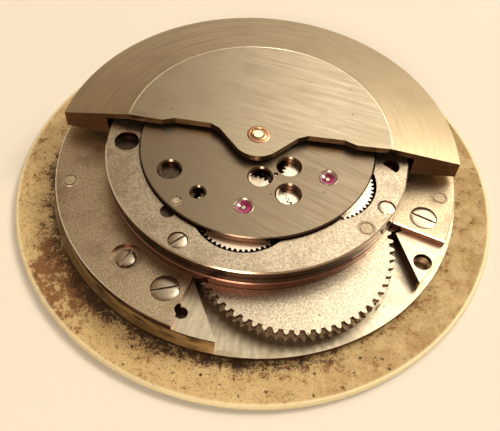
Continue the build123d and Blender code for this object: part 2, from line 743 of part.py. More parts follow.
with BuildPart() as shock_setting:
    arbor(balance_at, shock_bottom, shock_top, shock_radius)
    extrude(disc_face(balance_at, pivot_radius + running_gap, shock_bottom),
            amount=(shock_top - shock_bottom) / 2, mode=Mode.SUBTRACT)
save(shock_setting, "shock_setting")

regulator_thickness = 0.07
regulator_ring = 0.95
regulator_reach = 2.60
regulator_bearing = 190.0
with BuildPart() as regulator:
    regulator_tip = polar(balance_at, regulator_reach, regulator_bearing)
    extrude(disc_face(balance_at, regulator_ring, cock_top), amount=regulator_thickness)
    extrude(lever_face(((balance_at, arbor_radius), (regulator_tip, slim_arbor_radius)), cock_top),
            amount=regulator_thickness)
    extrude(disc_face(balance_at, shock_radius + running_gap, cock_top), amount=overrun,
            mode=Mode.SUBTRACT)
save(regulator, "regulator")

# Bridges over the train and the barrel: outlines as shares of the plate's radius
edge_chamfer = 0.06
train_outline_shares = ((-0.2524, -0.6919), (-0.3548, -1.0645), (-1.13, -1.0645), (-1.13, 0.645),
                        (0.3387, 0.645), (0.3387, -0.4782))
barrel_outline_shares = ((0.6742, -0.3250), (0.8911, -0.4113), (1.1290, -0.5056), (1.1290, 0.4839),
                         (0.3468, 0.4839), (0.3468, -0.4000))
counterbore_radius, counterbore_depth = 0.90, 0.22
driving_hole_radius = 0.80
end_head_radius, right_head_radius, left_head_radius = 0.80, 0.80, 0.575
head_thickness = 0.22
upper_jewelled = (second_at, third_at, escape_at, centre)
module_screw_radius = 0.30
module_left_screw_shares = (-0.4402, -0.8033)
module_right_screw_shares = (0.8239, -0.4565)
module_pin_shares = (0.6913, -0.6272)
module_left_hole_shares = (-0.8641, -0.0435)
module_right_hole_shares = (0.8761, -0.1174)
module_far_left_shares = (-0.8260, 0.3910)
module_far_right_shares = (0.8587, 0.2609)
module_left_screw_at = share_of(module_radius, module_left_screw_shares)
module_right_screw_at = share_of(module_radius, module_right_screw_shares)
module_pin_at = share_of(module_radius, module_pin_shares)
module_left_hole_at = share_of(module_radius, module_left_hole_shares)
module_right_hole_at = share_of(module_radius, module_right_hole_shares)
module_far_left_at = share_of(module_radius, module_far_left_shares)
module_far_right_at = share_of(module_radius, module_far_right_shares)


def bridge_blank(shares):
    """A bridge's plan, cut clear of the ratchet wheel and the balance, added to the part being made."""
    with BuildSketch(Plane.XY.offset(plate_top)) as plan:
        add(disc_face(centre, plate_radius, plate_top))
        add(outline_face([share_of(plate_radius, pair) for pair in shares], plate_top),
            mode=Mode.INTERSECT)
        with Locations(barrel_at):
            Circle(ratchet_pocket_radius, mode=Mode.SUBTRACT)
        with Locations(balance_at):
            Circle(balance_cut_radius, mode=Mode.SUBTRACT)
    extrude(plan.sketch.faces().sort_by(SortBy.AREA)[-1], amount=bridge_top - plate_top)


def bridge_holes(places, radius):
    """Round holes through a bridge, cut from the part being made."""
    for place in places:
        extrude(disc_face(place, radius, arm_bottom), amount=overrun * 2, mode=Mode.SUBTRACT)


with BuildPart() as train_bridge:
    bridge_blank(train_outline_shares)
    chamfer(train_bridge.faces().sort_by(Axis.Z)[-1].edges(), edge_chamfer)
    bridge_holes((left_screw_at, end_screw_at, far_screw_at), screw_shank_radius + fit_gap)
    bridge_holes((left_pin_at,), pin_radius)
    bridge_holes(upper_jewelled, jewel_radius)
    bridge_holes((module_left_screw_at, module_far_left_at), module_screw_radius + fit_gap)
    for place, radius in ((left_screw_at, counterbore_radius), (far_screw_at, counterbore_radius),
                          (end_screw_at, end_head_radius + fit_gap)):
        extrude(disc_face(place, radius, bridge_top - counterbore_depth), amount=overrun,
                mode=Mode.SUBTRACT)
    extrude(disc_face(driving_at, driving_hole_radius, arbor_top), amount=overrun, mode=Mode.SUBTRACT)
    extrude(disc_face(driving_at, pivot_radius + running_gap, plate_top), amount=overrun,
            mode=Mode.SUBTRACT)
    extrude(disc_face(facet_hole_at, facet_hole_radius, plate_top), amount=overrun, mode=Mode.SUBTRACT)
save(train_bridge, "train_bridge")

crown_recess_radius = pitch_radius(winding_module, crown_teeth) + winding_module + wheel_gap / 2
crown_web_top = 1.97
click_distance, click_bearing = 6.55, 31.0
click_at = polar(barrel_at, click_distance, click_bearing)
click_recess_radius = 0.70
click_stud_radius = 0.20
click_bottom, click_top = 2.02, 2.20
click_body_radius, click_nose_radius = 0.40, 0.09
click_nose_aside = 9.0
click_nose_at = polar(
    barrel_at, pitch_radius(winding_module, ratchet_teeth) + winding_module + click_nose_radius,
    click_bearing - click_nose_aside / 2,
)
click_spring_radius, click_spring_strip = 0.58, 0.06
crown_screw_radius = 0.46
pinion_slot_start, pinion_slot_end = 8.35, 9.55
with BuildPart() as barrel_bridge:
    bridge_blank(barrel_outline_shares)
    chamfer(barrel_bridge.faces().sort_by(Axis.Z)[-1].edges(), edge_chamfer)
    extrude(lever_face(((barrel_at, arm_half_width), (arm_end, arm_half_width)), arm_bottom),
            amount=plate_top - arm_bottom)
    extrude(disc_face(barrel_at, arm_disc_radius, arm_bottom), amount=plate_top - arm_bottom)
    bridge_holes((right_screw_at, far_right_screw_at), screw_shank_radius + fit_gap)
    bridge_holes((right_pin_at,), pin_radius)
    bridge_holes((barrel_at,), barrel_arbor_radius + running_gap)
    bridge_holes((module_far_right_at,), module_screw_radius + fit_gap)
    for place in (right_screw_at, far_right_screw_at):
        extrude(disc_face(place, right_head_radius + fit_gap, bridge_top - counterbore_depth),
                amount=overrun, mode=Mode.SUBTRACT)
    for place, radius in ((crown_at, crown_recess_radius), (click_at, click_recess_radius)):
        extrude(disc_face(place, radius, crown_web_top), amount=overrun, mode=Mode.SUBTRACT)
    extrude(lever_face(((click_at, click_body_radius + wheel_gap),
                        (click_nose_at, click_nose_radius + wheel_gap)), crown_web_top),
            amount=overrun, mode=Mode.SUBTRACT)
    extrude(disc_face(crown_at, crown_screw_radius + fit_gap, plate_top), amount=overrun,
            mode=Mode.SUBTRACT)
    with BuildSketch(Plane.XY.offset(plate_top)):
        with Locations(((pinion_slot_start + pinion_slot_end) / 2, 0)):
            Rectangle(pinion_slot_end - pinion_slot_start, stem_slot_width)
    extrude(amount=overrun, mode=Mode.SUBTRACT)
    arbor(click_at, crown_web_top, bridge_top - 2 * fit_gap, click_stud_radius)
save(barrel_bridge, "barrel_bridge")

with BuildPart() as train_jewels:
    for place in upper_jewelled:
        jewel(place, upper_jewel_bottom)
    for place in (second_at, escape_at, pallet_at, balance_at):
        jewel(place, jewel_bottom)
    jewel(third_at, jewel_bottom, hole=slim_arbor_radius + running_gap)
save(train_jewels, "train_jewels")


def slotted_head(place, radius, bottom, top, degrees):
    """A screw's round head with its slot, added to the part being made."""
    arbor(place, bottom, top, radius)
    with BuildSketch(Plane.XY.offset(top)) as slot:
        with Locations(Location(place, degrees)):
            Rectangle(2 * radius, slot_width)
    extrude(slot.sketch, amount=-slot_depth, mode=Mode.SUBTRACT)


left_head_top = bridge_top - 2 * fit_gap
bridge_screw_heads = (
    (left_screw_at, left_head_radius, left_head_top, 61),
    (end_screw_at, end_head_radius, bridge_top, 16),
    (right_screw_at, right_head_radius, bridge_top, -25),
    (far_screw_at, left_head_radius, left_head_top, 70),
    (far_right_screw_at, right_head_radius, bridge_top, -40),
)
with BuildPart() as bridge_screws:
    for place, radius, top, degrees in bridge_screw_heads:
        slotted_head(place, radius, bridge_top - counterbore_depth, top, degrees)
        arbor(place, screw_bottom, bridge_top - counterbore_depth, screw_shank_radius)
save(bridge_screws, "bridge_screws")

# Ratchet wheel, crown wheel and click
ratchet_head_radius = 0.75
ratchet_head_bottom = 2.13
ratchet_head_top = 2.27
ratchet_screw_radius = 0.25
ratchet_phase = 0.0
with BuildPart() as ratchet_wheel:
    extrude(gear_face(barrel_at, winding_module, ratchet_teeth, ratchet_phase, ratchet_bottom),
            amount=ratchet_top - ratchet_bottom)
    with BuildSketch(Plane.XY.offset(ratchet_bottom)):
        with Locations(barrel_at):
            Rectangle(ratchet_square + fit_gap, ratchet_square + fit_gap)
    extrude(amount=overrun, mode=Mode.SUBTRACT)
    extrude(disc_face(barrel_at, ratchet_head_radius + fit_gap, ratchet_head_bottom), amount=overrun,
            mode=Mode.SUBTRACT)
save(ratchet_wheel, "ratchet_wheel")

with BuildPart() as ratchet_screw:
    slotted_head(barrel_at, ratchet_head_radius, ratchet_head_bottom, ratchet_head_top, 25)
    arbor(barrel_at, ratchet_bottom + (ratchet_top - ratchet_bottom) / 3, ratchet_head_bottom,
          ratchet_screw_radius)
save(ratchet_screw, "ratchet_screw")

crown_bottom, crown_top = 2.00, 2.20
crown_hole_radius = 0.50
crown_head_radius = 0.95
crown_phase = mesh_phase(barrel_at, ratchet_teeth, ratchet_phase, crown_at, crown_teeth)
with BuildPart() as crown_wheel:
    extrude(gear_face(crown_at, winding_module, crown_teeth, crown_phase, crown_bottom,
                      crown_hole_radius), amount=crown_top - crown_bottom)
save(crown_wheel, "crown_wheel")

cock_screw_head = 0.85
cock_screw_top = 2.69
with BuildPart() as small_screws:
    slotted_head(crown_at, crown_head_radius, crown_top + fit_gap, bridge_top - fit_gap, -30)
    arbor(crown_at, plate_top + fit_gap, crown_top + fit_gap, crown_screw_radius)
    slotted_head(cock_foot_at, cock_screw_head, cock_top, cock_screw_top, 20)
    arbor(cock_foot_at, screw_bottom, cock_top, screw_shank_radius)
    slotted_head(pallet_foot_at, 2 * pallet_screw_radius, pallet_bridge_top,
                 pallet_bridge_top + head_thickness / 2, 60)
    arbor(pallet_foot_at, motion_recess_top + fit_gap, pallet_bridge_top, pallet_screw_radius)
    for direction in foot_bearings:
        screw_start = foot_distance + foot_radius + fit_gap
        with BuildSketch(radial_plane(direction, screw_start, foot_screw_height)):
            Circle(foot_screw_radius)
        extrude(amount=flange_radius - foot_notch_depth / 2 - screw_start)
        with BuildSketch(radial_plane(direction, flange_radius - foot_notch_depth / 2,
                                      foot_screw_height)):
            Rectangle(slot_width / 2, 3 * foot_screw_radius)
        extrude(amount=-slot_depth, mode=Mode.SUBTRACT)
save(small_screws, "small_screws")

with BuildPart() as click:
    extrude(lever_face(((click_at, click_body_radius), (click_nose_at, click_nose_radius)),
                       click_bottom), amount=click_top - click_bottom)
    extrude(disc_face(click_at, click_stud_radius + running_gap, click_bottom), amount=overrun,
            mode=Mode.SUBTRACT)
save(click, "click")

with BuildPart() as click_spring:
    with BuildSketch(Plane.XY.offset(click_bottom)):
        with BuildLine():
            CenterArc(click_at, click_spring_radius, click_bearing - 90, 200)
        trace(line_width=click_spring_strip)
    extrude(amount=click_top - click_bottom)
save(click_spring, "click_spring")

# Keyless work around the stem, which is drawn out
stem_hole_radius = 0.28
winding_pinion_start, winding_pinion_end = 8.48, 9.45
winding_teeth_start = 8.95
winding_body_radius = 0.46
clutch_start, clutch_end = 7.30, 8.40
clutch_radius, clutch_groove_radius = 0.52, 0.38
clutch_groove_start, clutch_groove_end = 7.72, 8.02
clutch_teeth_end = 7.48


def stem_gear(start, end, phase):
    """A toothed wheel on the stem's axis, added to the part being made."""
    with BuildSketch(stem_plane(start)) as face:
        with BuildLine():
            Polyline(*tooth_points(centre, stem_wheel_module, stem_wheel_teeth, phase), close=True)
        make_face()
    extrude(face.sketch, amount=end - start)


def stem_round(start, end, radius, mode=Mode.ADD):
    """A round length on the stem's axis, added to or cut from the part being made."""
    with BuildSketch(stem_plane(start)) as face:
        Circle(radius)
    extrude(face.sketch, amount=end - start, mode=mode)


with BuildPart() as winding_pinion:
    stem_round(winding_pinion_start, winding_pinion_end, winding_body_radius)
    stem_gear(winding_teeth_start, winding_pinion_end, 0)
    stem_round(winding_pinion_start, winding_pinion_end, stem_hole_radius, Mode.SUBTRACT)
save(winding_pinion, "winding_pinion")

with BuildPart() as clutch_wheel:
    stem_round(clutch_start, clutch_end, clutch_radius)
    stem_gear(clutch_start, clutch_teeth_end, 0)
    with BuildSketch(stem_plane(clutch_groove_start)):
        Circle(clutch_radius)
        Circle(clutch_groove_radius, mode=Mode.SUBTRACT)
    extrude(amount=clutch_groove_end - clutch_groove_start, mode=Mode.SUBTRACT)
    stem_round(clutch_start, clutch_end, stem_hole_radius, Mode.SUBTRACT)
save(clutch_wheel, "clutch_wheel")

lever_hub_radius = 0.50
yoke_tip_half = 0.10
yoke_tip_at = ((clutch_groove_start + clutch_groove_end) / 2, stem_slot_width / 5)
yoke_tip_top = stem_height - clutch_groove_radius - running_gap
with BuildPart() as yoke:
    extrude(lever_face(((yoke_pivot_at, lever_hub_radius), (yoke_tip_at, yoke_tip_half)),
                       lever_bottom), amount=lever_top - lever_bottom)
    arbor(yoke_tip_at, lever_top, yoke_tip_top, yoke_tip_half)
    extrude(disc_face(yoke_pivot_at, stud_radius + running_gap, lever_bottom), amount=overrun,
            mode=Mode.SUBTRACT)
save(yoke, "yoke")

setting_tip_at = (stem_slot_end, stem_slot_width / 4)
with BuildPart() as setting_lever:
    extrude(lever_face(((setting_lever_at, lever_hub_radius), (setting_tip_at, 2 * yoke_tip_half)),
                       lever_bottom), amount=lever_top - lever_bottom)
    extrude(disc_face(setting_lever_at, stud_radius + running_gap, lever_bottom), amount=overrun,
            mode=Mode.SUBTRACT)
save(setting_lever, "setting_lever")

jumper_root_at = (lever_recess_start + lever_hub_radius * 2, -lever_recess_half + 2 * lever_hub_radius)
jumper_tip_at = (setting_lever_at[0] - 2 * lever_hub_radius, setting_lever_at[1] - lever_hub_radius)
with BuildPart() as setting_jumper:
    extrude(lever_face(((jumper_root_at, lever_hub_radius), (jumper_tip_at, yoke_tip_half)),
                       lever_bottom), amount=motion_recess_top - lever_bottom)
save(setting_jumper, "setting_jumper")

# Motion work under the dial
cannon_bottom, cannon_radius = -0.65, 0.58
pipe_bottom, pipe_radius, pipe_bore_radius = -0.35, 0.91, cannon_radius + running_gap
pipe_seat_radius = 0.75
cannon_seat_radius, cannon_shoulder = 0.42, -0.37
hour_wheel_bottom, hour_wheel_top = 0.44, 0.52
minute_wheel_bottom, minute_wheel_top = 0.56, 0.64
cannon_drive_bottom, cannon_drive_top = 0.68, 0.78
cannon_drive_phase = mesh_phase(third_at, drive_leaves, 0, centre, cannon_drive_teeth)
minute_phase = mesh_phase(centre, cannon_leaves, 0, minute_at, minute_teeth)
hour_phase = mesh_phase(minute_at, minute_leaves, 0, centre, hour_teeth)
setting_phase = mesh_phase(minute_at, minute_teeth, minute_phase, setting_at, setting_teeth)
with BuildPart() as cannon_pinion:
    arbor(centre, cannon_bottom, cannon_shoulder, cannon_seat_radius)
    arbor(centre, cannon_shoulder, cannon_drive_top, cannon_radius)
    leaves(centre, minute_module, cannon_leaves, 0, minute_wheel_bottom - fit_gap,
           minute_wheel_top + fit_gap)
    leaves(centre, cannon_drive_module, cannon_drive_teeth, cannon_drive_phase, cannon_drive_bottom,
           cannon_drive_top)
    extrude(disc_face(centre, tube_bore_radius, cannon_bottom), amount=overrun * 3, mode=Mode.SUBTRACT)
    extrude(disc_face(centre, tube_radius + running_gap, tube_bottom - fit_gap), amount=overrun * 2,
            mode=Mode.SUBTRACT)
save(cannon_pinion, "cannon_pinion")

with BuildPart() as minute_wheel:
    leaves(minute_at, minute_module, minute_teeth, minute_phase, minute_wheel_bottom, minute_wheel_top)
    leaves(minute_at, hour_module, minute_leaves, 0, hour_wheel_bottom, minute_wheel_bottom)
    extrude(disc_face(minute_at, stud_radius + running_gap, hour_wheel_bottom), amount=overrun,
            mode=Mode.SUBTRACT)
save(minute_wheel, "minute_wheel")

with BuildPart() as hour_wheel:
    leaves(centre, hour_module, hour_teeth, hour_phase, hour_wheel_bottom, hour_wheel_top)
    arbor(centre, pipe_bottom, 0, pipe_seat_radius)
    arbor(centre, 0, hour_wheel_bottom, pipe_radius)
    extrude(disc_face(centre, pipe_bore_radius, pipe_bottom), amount=overrun * 2, mode=Mode.SUBTRACT)
save(hour_wheel, "hour_wheel")

with BuildPart() as setting_wheel:
    extrude(gear_face(setting_at, minute_module, setting_teeth, setting_phase, minute_wheel_bottom,
                      stud_radius + running_gap), amount=minute_wheel_top - minute_wheel_bottom)
save(setting_wheel, "setting_wheel")

# Automatic winding module: plates
module_cut_radius = 4.20
reduction_pocket_radius = pitch_radius(reduction_module, reduction_teeth) + pocket_gap
driving_pocket_radius = pitch_radius(driving_module, driving_teeth) + pocket_gap
reduction_pocket_bottom = 2.44
driving_pocket_bottom = 2.66
reverser_pocket_bottom = 2.40
reverser_pocket_radius = 0.75
module_chamfer = 0.08
module_screws_at = (module_left_screw_at, module_right_screw_at, module_far_left_at, module_far_right_at)
with BuildPart() as auto_base_plate:
    arbor(centre, bridge_top, base_plate_top, module_radius)
    chamfer(auto_base_plate.edges().filter_by(GeomType.CIRCLE).sort_by(Axis.Z)[-1], module_chamfer)
    for place, radius, bottom in (
        (balance_at, module_cut_radius, bridge_top),
        (reduction_at, reduction_pocket_radius, reduction_pocket_bottom),
        (driving_at, driving_pocket_radius, driving_pocket_bottom),
        (driving_at, driving_hole_radius, bridge_top),
        (reverser_1_at, reverser_pocket_radius, reverser_pocket_bottom),
        (reverser_2_at, reverser_pocket_radius, reverser_pocket_bottom),
        (reverser_1_at, pivot_radius + running_gap, bridge_top),
        (reverser_2_at, pivot_radius + running_gap, bridge_top),
        (reduction_at, pivot_radius + running_gap, bridge_top),
        (module_pin_at, pin_radius, reverser_pocket_bottom),
        (module_right_screw_at, module_screw_radius + fit_gap, reverser_pocket_bottom),
        (module_left_screw_at, module_screw_radius + fit_gap, bridge_top),
        (module_far_left_at, module_screw_radius + fit_gap, bridge_top),
        (module_far_right_at, module_screw_radius + fit_gap, bridge_top),
    ):
        extrude(disc_face(place, radius, bottom), amount=base_plate_top + overrun - bottom,
                mode=Mode.SUBTRACT)
save(auto_base_plate, "auto_base_plate")

window_1_radius, window_2_radius = 2.98, 2.90
rotor_wheel_pocket_radius = 2.60
reduction_arbor_pocket = 0.50
left_hole_radius = 0.75
right_hole_radius, right_hole_flat, right_hole_bearing = 0.52, 0.18, -130
blind_hole_bottom = 3.35
module_head_left, module_head_right = 0.54, 0.50
module_head_bottom = 3.72
wall_slot_bearing, wall_slot_width, wall_slot_height, wall_slot_depth = -57.0, 1.65, 0.30, 0.55
pry_notch_shares = (-0.5246, -0.5957)
pry_notch_radius = 0.45
wall_groove_height, wall_groove_depth = 0.08, 0.05
wall_groove_bottom = 3.34
with BuildPart() as auto_ring_plate:
    arbor(centre, base_plate_top, ring_top, module_radius)
    chamfer(auto_ring_plate.edges().filter_by(GeomType.CIRCLE), module_chamfer)
    for place, radius, bottom in (
        (centre, upper_bridge_radius + module_gap, upper_bridge_bottom),
        (balance_at, module_cut_radius, base_plate_top),
        (reverser_1_at, window_1_radius, base_plate_top),
        (reverser_2_at, window_2_radius, base_plate_top),
        (centre, rotor_wheel_pocket_radius, base_plate_top + running_gap),
        (reduction_at, reduction_arbor_pocket, base_plate_top),
        (driving_at, pivot_radius + running_gap, base_plate_top),
        (module_left_hole_at, left_hole_radius, blind_hole_bottom),
        (module_left_screw_at, module_head_left + fit_gap, module_head_bottom),
        (module_right_screw_at, module_head_right + fit_gap, module_head_bottom),
        (module_far_left_at, module_head_left + fit_gap, module_head_bottom),
        (module_far_right_at, module_head_left + fit_gap, module_head_bottom),
        (module_pin_at, pin_radius, base_plate_top),
        *((place, module_screw_radius + fit_gap, base_plate_top) for place in module_screws_at),
    ):
        extrude(disc_face(place, radius, bottom), amount=ring_top + overrun - bottom,
                mode=Mode.SUBTRACT)
    with BuildSketch(radial_plane(wall_slot_bearing, module_radius - wall_slot_depth, base_plate_top)):
        Rectangle(wall_slot_width, 2 * wall_slot_height)
    extrude(amount=overrun * 2, mode=Mode.SUBTRACT)
    extrude(disc_face(share_of(module_radius, pry_notch_shares), pry_notch_radius, module_head_bottom),
            amount=overrun, mode=Mode.SUBTRACT)
    with BuildSketch(Plane.XY.offset(blind_hole_bottom)):
        with Locations(module_right_hole_at):
            Circle(right_hole_radius)
        flat_at = polar(module_right_hole_at, right_hole_radius + right_hole_flat, right_hole_bearing)
        with Locations(Location(flat_at, right_hole_bearing)):
            Rectangle(2 * right_hole_radius, 2 * right_hole_radius, mode=Mode.SUBTRACT)
    extrude(amount=overrun * 2, mode=Mode.SUBTRACT)
    extrude(ring_face(centre, module_radius + overrun, module_radius - wall_groove_depth,
                      wall_groove_bottom), amount=wall_groove_height, mode=Mode.SUBTRACT)
save(auto_ring_plate, "auto_ring_plate")

# Upper bridge of the module, with its round openings: shares of its radius
left_opening_radius, small_opening_radius = 0.665, 0.405
middle_opening_radius, front_opening_radius = 0.68, 0.70
upper_openings = (
    ((-0.7097, -0.3689), left_opening_radius), ((-0.4558, -0.5877), small_opening_radius),
    ((0.0351, -0.3843), middle_opening_radius), ((0.2693, -0.2567), middle_opening_radius),
    ((0.2679, -0.5470), front_opening_radius),
)
upper_pin_shares = (-0.6185, -0.6886)
upper_pin_radius = 0.35
upper_screw_shares = ((-0.7000, 0.2500), (0.7200, 0.2200))
upper_chamfer = 0.06
opening_chamfer = 0.09
ruby_radius = 0.50
ruby_bottom, ruby_top = 3.92, 4.16
bearing_radius, bearing_bore_radius, bearing_top = 1.10, 0.36, 4.32
upper_pin_at = share_of(upper_bridge_radius, upper_pin_shares)
upper_screws_at = [share_of(upper_bridge_radius, pair) for pair in upper_screw_shares]
rubies_at = (reverser_1_at, reverser_2_at)
with BuildPart() as auto_bridge:
    arbor(centre, upper_bridge_bottom, upper_bridge_top, upper_bridge_radius)
    extrude(disc_face(balance_at, module_cut_radius, upper_bridge_bottom), amount=overrun,
            mode=Mode.SUBTRACT)
    chamfer(auto_bridge.faces().sort_by(Axis.Z)[-1].edges(), upper_chamfer)
    for shares, radius in upper_openings:
        extrude(disc_face(share_of(upper_bridge_radius, shares), radius, upper_bridge_bottom),
                amount=overrun, mode=Mode.SUBTRACT)
    for place in rubies_at:
        extrude(disc_face(place, ruby_radius, upper_bridge_bottom), amount=overrun, mode=Mode.SUBTRACT)
    openings = auto_bridge.faces().sort_by(Axis.Z)[-1].edges().filter_by(GeomType.CIRCLE)
    chamfer([edge for edge in openings if edge.radius < bearing_radius], opening_chamfer)
    for place, radius in (
        (centre, bearing_radius), (upper_pin_at, upper_pin_radius),
        (reduction_at, pivot_radius + running_gap), *((place, module_screw_radius + fit_gap)
                                                      for place in upper_screws_at),
    ):
        extrude(disc_face(place, radius, upper_bridge_bottom), amount=overrun, mode=Mode.SUBTRACT)
save(auto_bridge, "auto_bridge")

with BuildPart() as auto_jewels:
    for place in rubies_at:
        jewel(place, ruby_bottom, slim_arbor_radius + running_gap, ruby_radius, ruby_top - ruby_bottom)
save(auto_jewels, "auto_jewels")

with BuildPart() as auto_screws:
    for place, radius, degrees in (
        (module_left_screw_at, module_head_left, 43), (module_right_screw_at, module_head_right, 78),
        (module_far_left_at, module_head_left, 0), (module_far_right_at, module_head_left, 80),
    ):
        slotted_head(place, radius, module_head_bottom, ring_top - fit_gap, degrees)
        bottom = reverser_pocket_bottom if place == module_right_screw_at else plate_top + pocket_gap
        arbor(place, bottom, module_head_bottom, module_screw_radius)
    for place in upper_screws_at:
        slotted_head(place, module_head_right, upper_bridge_top, upper_bridge_top + slot_depth * 1.5, 15)
        arbor(place, upper_bridge_bottom, upper_bridge_top, module_screw_radius)
save(auto_screws, "auto_screws")

pin_stand = 0.02
with BuildPart() as steady_pins:
    for place in (left_pin_at, right_pin_at):
        arbor(place, floor_top, bridge_top + pin_stand, pin_radius)
    arbor(module_pin_at, reverser_pocket_bottom, ring_top, pin_radius)
    arbor(upper_pin_at, upper_bridge_bottom, upper_bridge_top, upper_pin_radius)
save(steady_pins, "steady_pins")

# Automatic winding module: wheels
lower_gear_bottom, lower_gear_top = 2.96, 3.16
upper_gear_bottom, upper_gear_top = 3.53, 3.73
reverser_hub_radius = 0.90
hub_bottom, hub_top = 2.92, 3.73
reverser_leaves_bottom, reverser_leaves_top = 2.46, 2.66
reverser_pivot_bottom, reverser_arbor_top, reverser_pivot_top = 2.33, 3.74, 4.08
reduction_wheel_bottom, reduction_wheel_top = 2.50, 2.62
driving_wheel_bottom, driving_wheel_top = 2.70, 2.80
driving_pivot_bottom, driving_leaves_bottom, driving_leaves_top = 1.88, 1.98, 2.28
driving_pivot_top = 3.05
rotor_wheel_phase = 0.0
reverser_1_phase = mesh_phase(centre, rotor_wheel_teeth, rotor_wheel_phase, reverser_1_at, reverser_teeth)
reverser_2_phase = mesh_phase(reverser_1_at, reverser_teeth, reverser_1_phase, reverser_2_at,
                              reverser_teeth)
reverser_pinion_1_phase = mesh_phase(reduction_at, reduction_teeth, 0, reverser_1_at, reverser_leaves)
reverser_pinion_2_phase = mesh_phase(reduction_at, reduction_teeth, 0, reverser_2_at, reverser_leaves)
driving_wheel_phase = mesh_phase(reduction_at, reduction_leaves, 0, driving_at, driving_teeth)
driving_pinion_phase = mesh_phase(barrel_at, ratchet_teeth, ratchet_phase, driving_at, driving_leaves)

for number, place, phase, gear_bottoms in (
    (1, reverser_1_at, reverser_1_phase, (lower_gear_bottom, upper_gear_bottom)),
    (2, reverser_2_at, reverser_2_phase, (upper_gear_bottom,)),
):
    with BuildPart() as reverser_wheel:
        arbor(place, hub_bottom, hub_top, reverser_hub_radius)
        for gear_bottom in gear_bottoms:
            leaves(place, reverser_module, reverser_teeth, phase, gear_bottom,
                   gear_bottom + upper_gear_top - upper_gear_bottom)
        extrude(disc_face(place, arbor_radius + running_gap, hub_bottom), amount=overrun * 2,
                mode=Mode.SUBTRACT)
    save(reverser_wheel, f"reverser_wheel_{number}")

for number, place, phase in (
    (1, reverser_1_at, reverser_pinion_1_phase), (2, reverser_2_at, reverser_pinion_2_phase),
):
    with BuildPart() as reverser_pinion:
        arbor(place, reverser_pivot_bottom, reverser_leaves_bottom, pivot_radius)
        leaves(place, reduction_module, reverser_leaves, phase, reverser_leaves_bottom,
               reverser_leaves_top)
        arbor(place, reverser_leaves_bottom, reverser_arbor_top)
        arbor(place, reverser_arbor_top, reverser_pivot_top, slim_arbor_radius)
    save(reverser_pinion, f"reverser_pinion_{number}")

with BuildPart() as reduction_wheel:
    arbor(reduction_at, reverser_pivot_bottom, reduction_wheel_bottom, pivot_radius)
    extrude(spoked_gear_face(reduction_at, reduction_module, reduction_teeth, 0,
                             reduction_wheel_bottom, 0, 5, hub=reverser_hub_radius),
            amount=reduction_wheel_top - reduction_wheel_bottom)
    leaves(reduction_at, driving_module, reduction_leaves, 0, reduction_wheel_top,
           driving_wheel_top + fit_gap)
    arbor(reduction_at, driving_wheel_top, reverser_pivot_top, pivot_radius)
save(reduction_wheel, "reduction_wheel")

with BuildPart() as driving_wheel:
    arbor(driving_at, driving_pivot_bottom, driving_leaves_bottom, pivot_radius)
    leaves(driving_at, winding_module, driving_leaves, driving_pinion_phase, driving_leaves_bottom,
           driving_leaves_top)
    arbor(driving_at, driving_leaves_bottom, driving_wheel_bottom)
    extrude(spoked_gear_face(driving_at, driving_module, driving_teeth, driving_wheel_phase,
                             driving_wheel_bottom, 0, 5),
            amount=driving_wheel_top - driving_wheel_bottom)
    arbor(driving_at, driving_wheel_top, driving_pivot_top, pivot_radius)
save(driving_wheel, "driving_wheel")

with BuildPart() as rotor_bearing:
    extrude(ring_face(centre, bearing_radius, bearing_bore_radius, upper_bridge_bottom),
            amount=bearing_top - upper_bridge_bottom)
save(rotor_bearing, "rotor_bearing")

# Rotor: outline of one side, as shares of the rotor's radius, before it is turned to rest
rotor_plate_radius = 8.0
rotor_rim_inner = 9.50
rotor_rim_bottom, rotor_rim_top = 2.80, 3.93
rotor_skirt_bottom = 4.13
rotor_axle_radius = 0.30
rotor_bushing_radius = 0.70
rotor_bushing_top = 4.88
rotor_axle_top = 4.90
rotor_wheel_hub = 0.80
rotor_side_shares = ((0.9975, 0.0463), (0.6504, 0.0187), (0.4837, 0.0122), (0.4211, 0.0358),
                     (0.2423, 0.0333), (0.1935, 0.0081), (0.0862, -0.1089))
rotor_hub_bottom_share = -0.1423
rotor_far_share = 1.05


def turned(place):
    """A place turned to the rotor's rest."""
    return polar(centre, math.dist(centre, place), bearing(centre, place) + rotor_rest_angle)


def rotor_outline(height):
    """Plan of the whole rotor, wider than its rim on the far side."""
    half = [share_of(rotor_radius, pair) for pair in rotor_side_shares]
    far = rotor_radius * rotor_far_share
    right = [turned(place) for place in ((far, far), (far, half[0][1]), *half)]
    left = [turned((-x, y)) for x, y in reversed(((far, far), (far, half[0][1]), *half))]
    with BuildSketch(Plane.XY.offset(height)) as face:
        with BuildLine():
            Polyline(*left, *right)
            ThreePointArc(right[-1], turned((0, rotor_radius * rotor_hub_bottom_share)), left[0])
        make_face()
    return face.sketch


with BuildPart() as rotor_plate:
    with BuildSketch(Plane.XY.offset(rotor_bottom)):
        add(disc_face(centre, rotor_plate_radius, rotor_bottom))
        add(rotor_outline(rotor_bottom), mode=Mode.INTERSECT)
        Circle(rotor_bushing_radius, mode=Mode.SUBTRACT)
    extrude(amount=rotor_top - rotor_bottom)
save(rotor_plate, "rotor_plate")

rim_profile = (
    (rotor_plate_radius, rotor_bottom), (rotor_plate_radius, rotor_top), (rotor_radius, rotor_rim_top),
    (rotor_radius, rotor_rim_bottom), (rotor_rim_inner, rotor_rim_bottom),
    (rotor_rim_inner, rotor_skirt_bottom),
)
with BuildPart() as rotor_weight:
    with BuildSketch(Plane.XZ):
        with BuildLine():
            Polyline(*rim_profile, close=True)
        make_face()
    revolve(axis=Axis.Z)
    extrude(rotor_outline(rotor_rim_bottom - overrun), amount=rotor_top - rotor_rim_bottom + 2 * overrun,
            mode=Mode.INTERSECT)
save(rotor_weight, "rotor_weight")

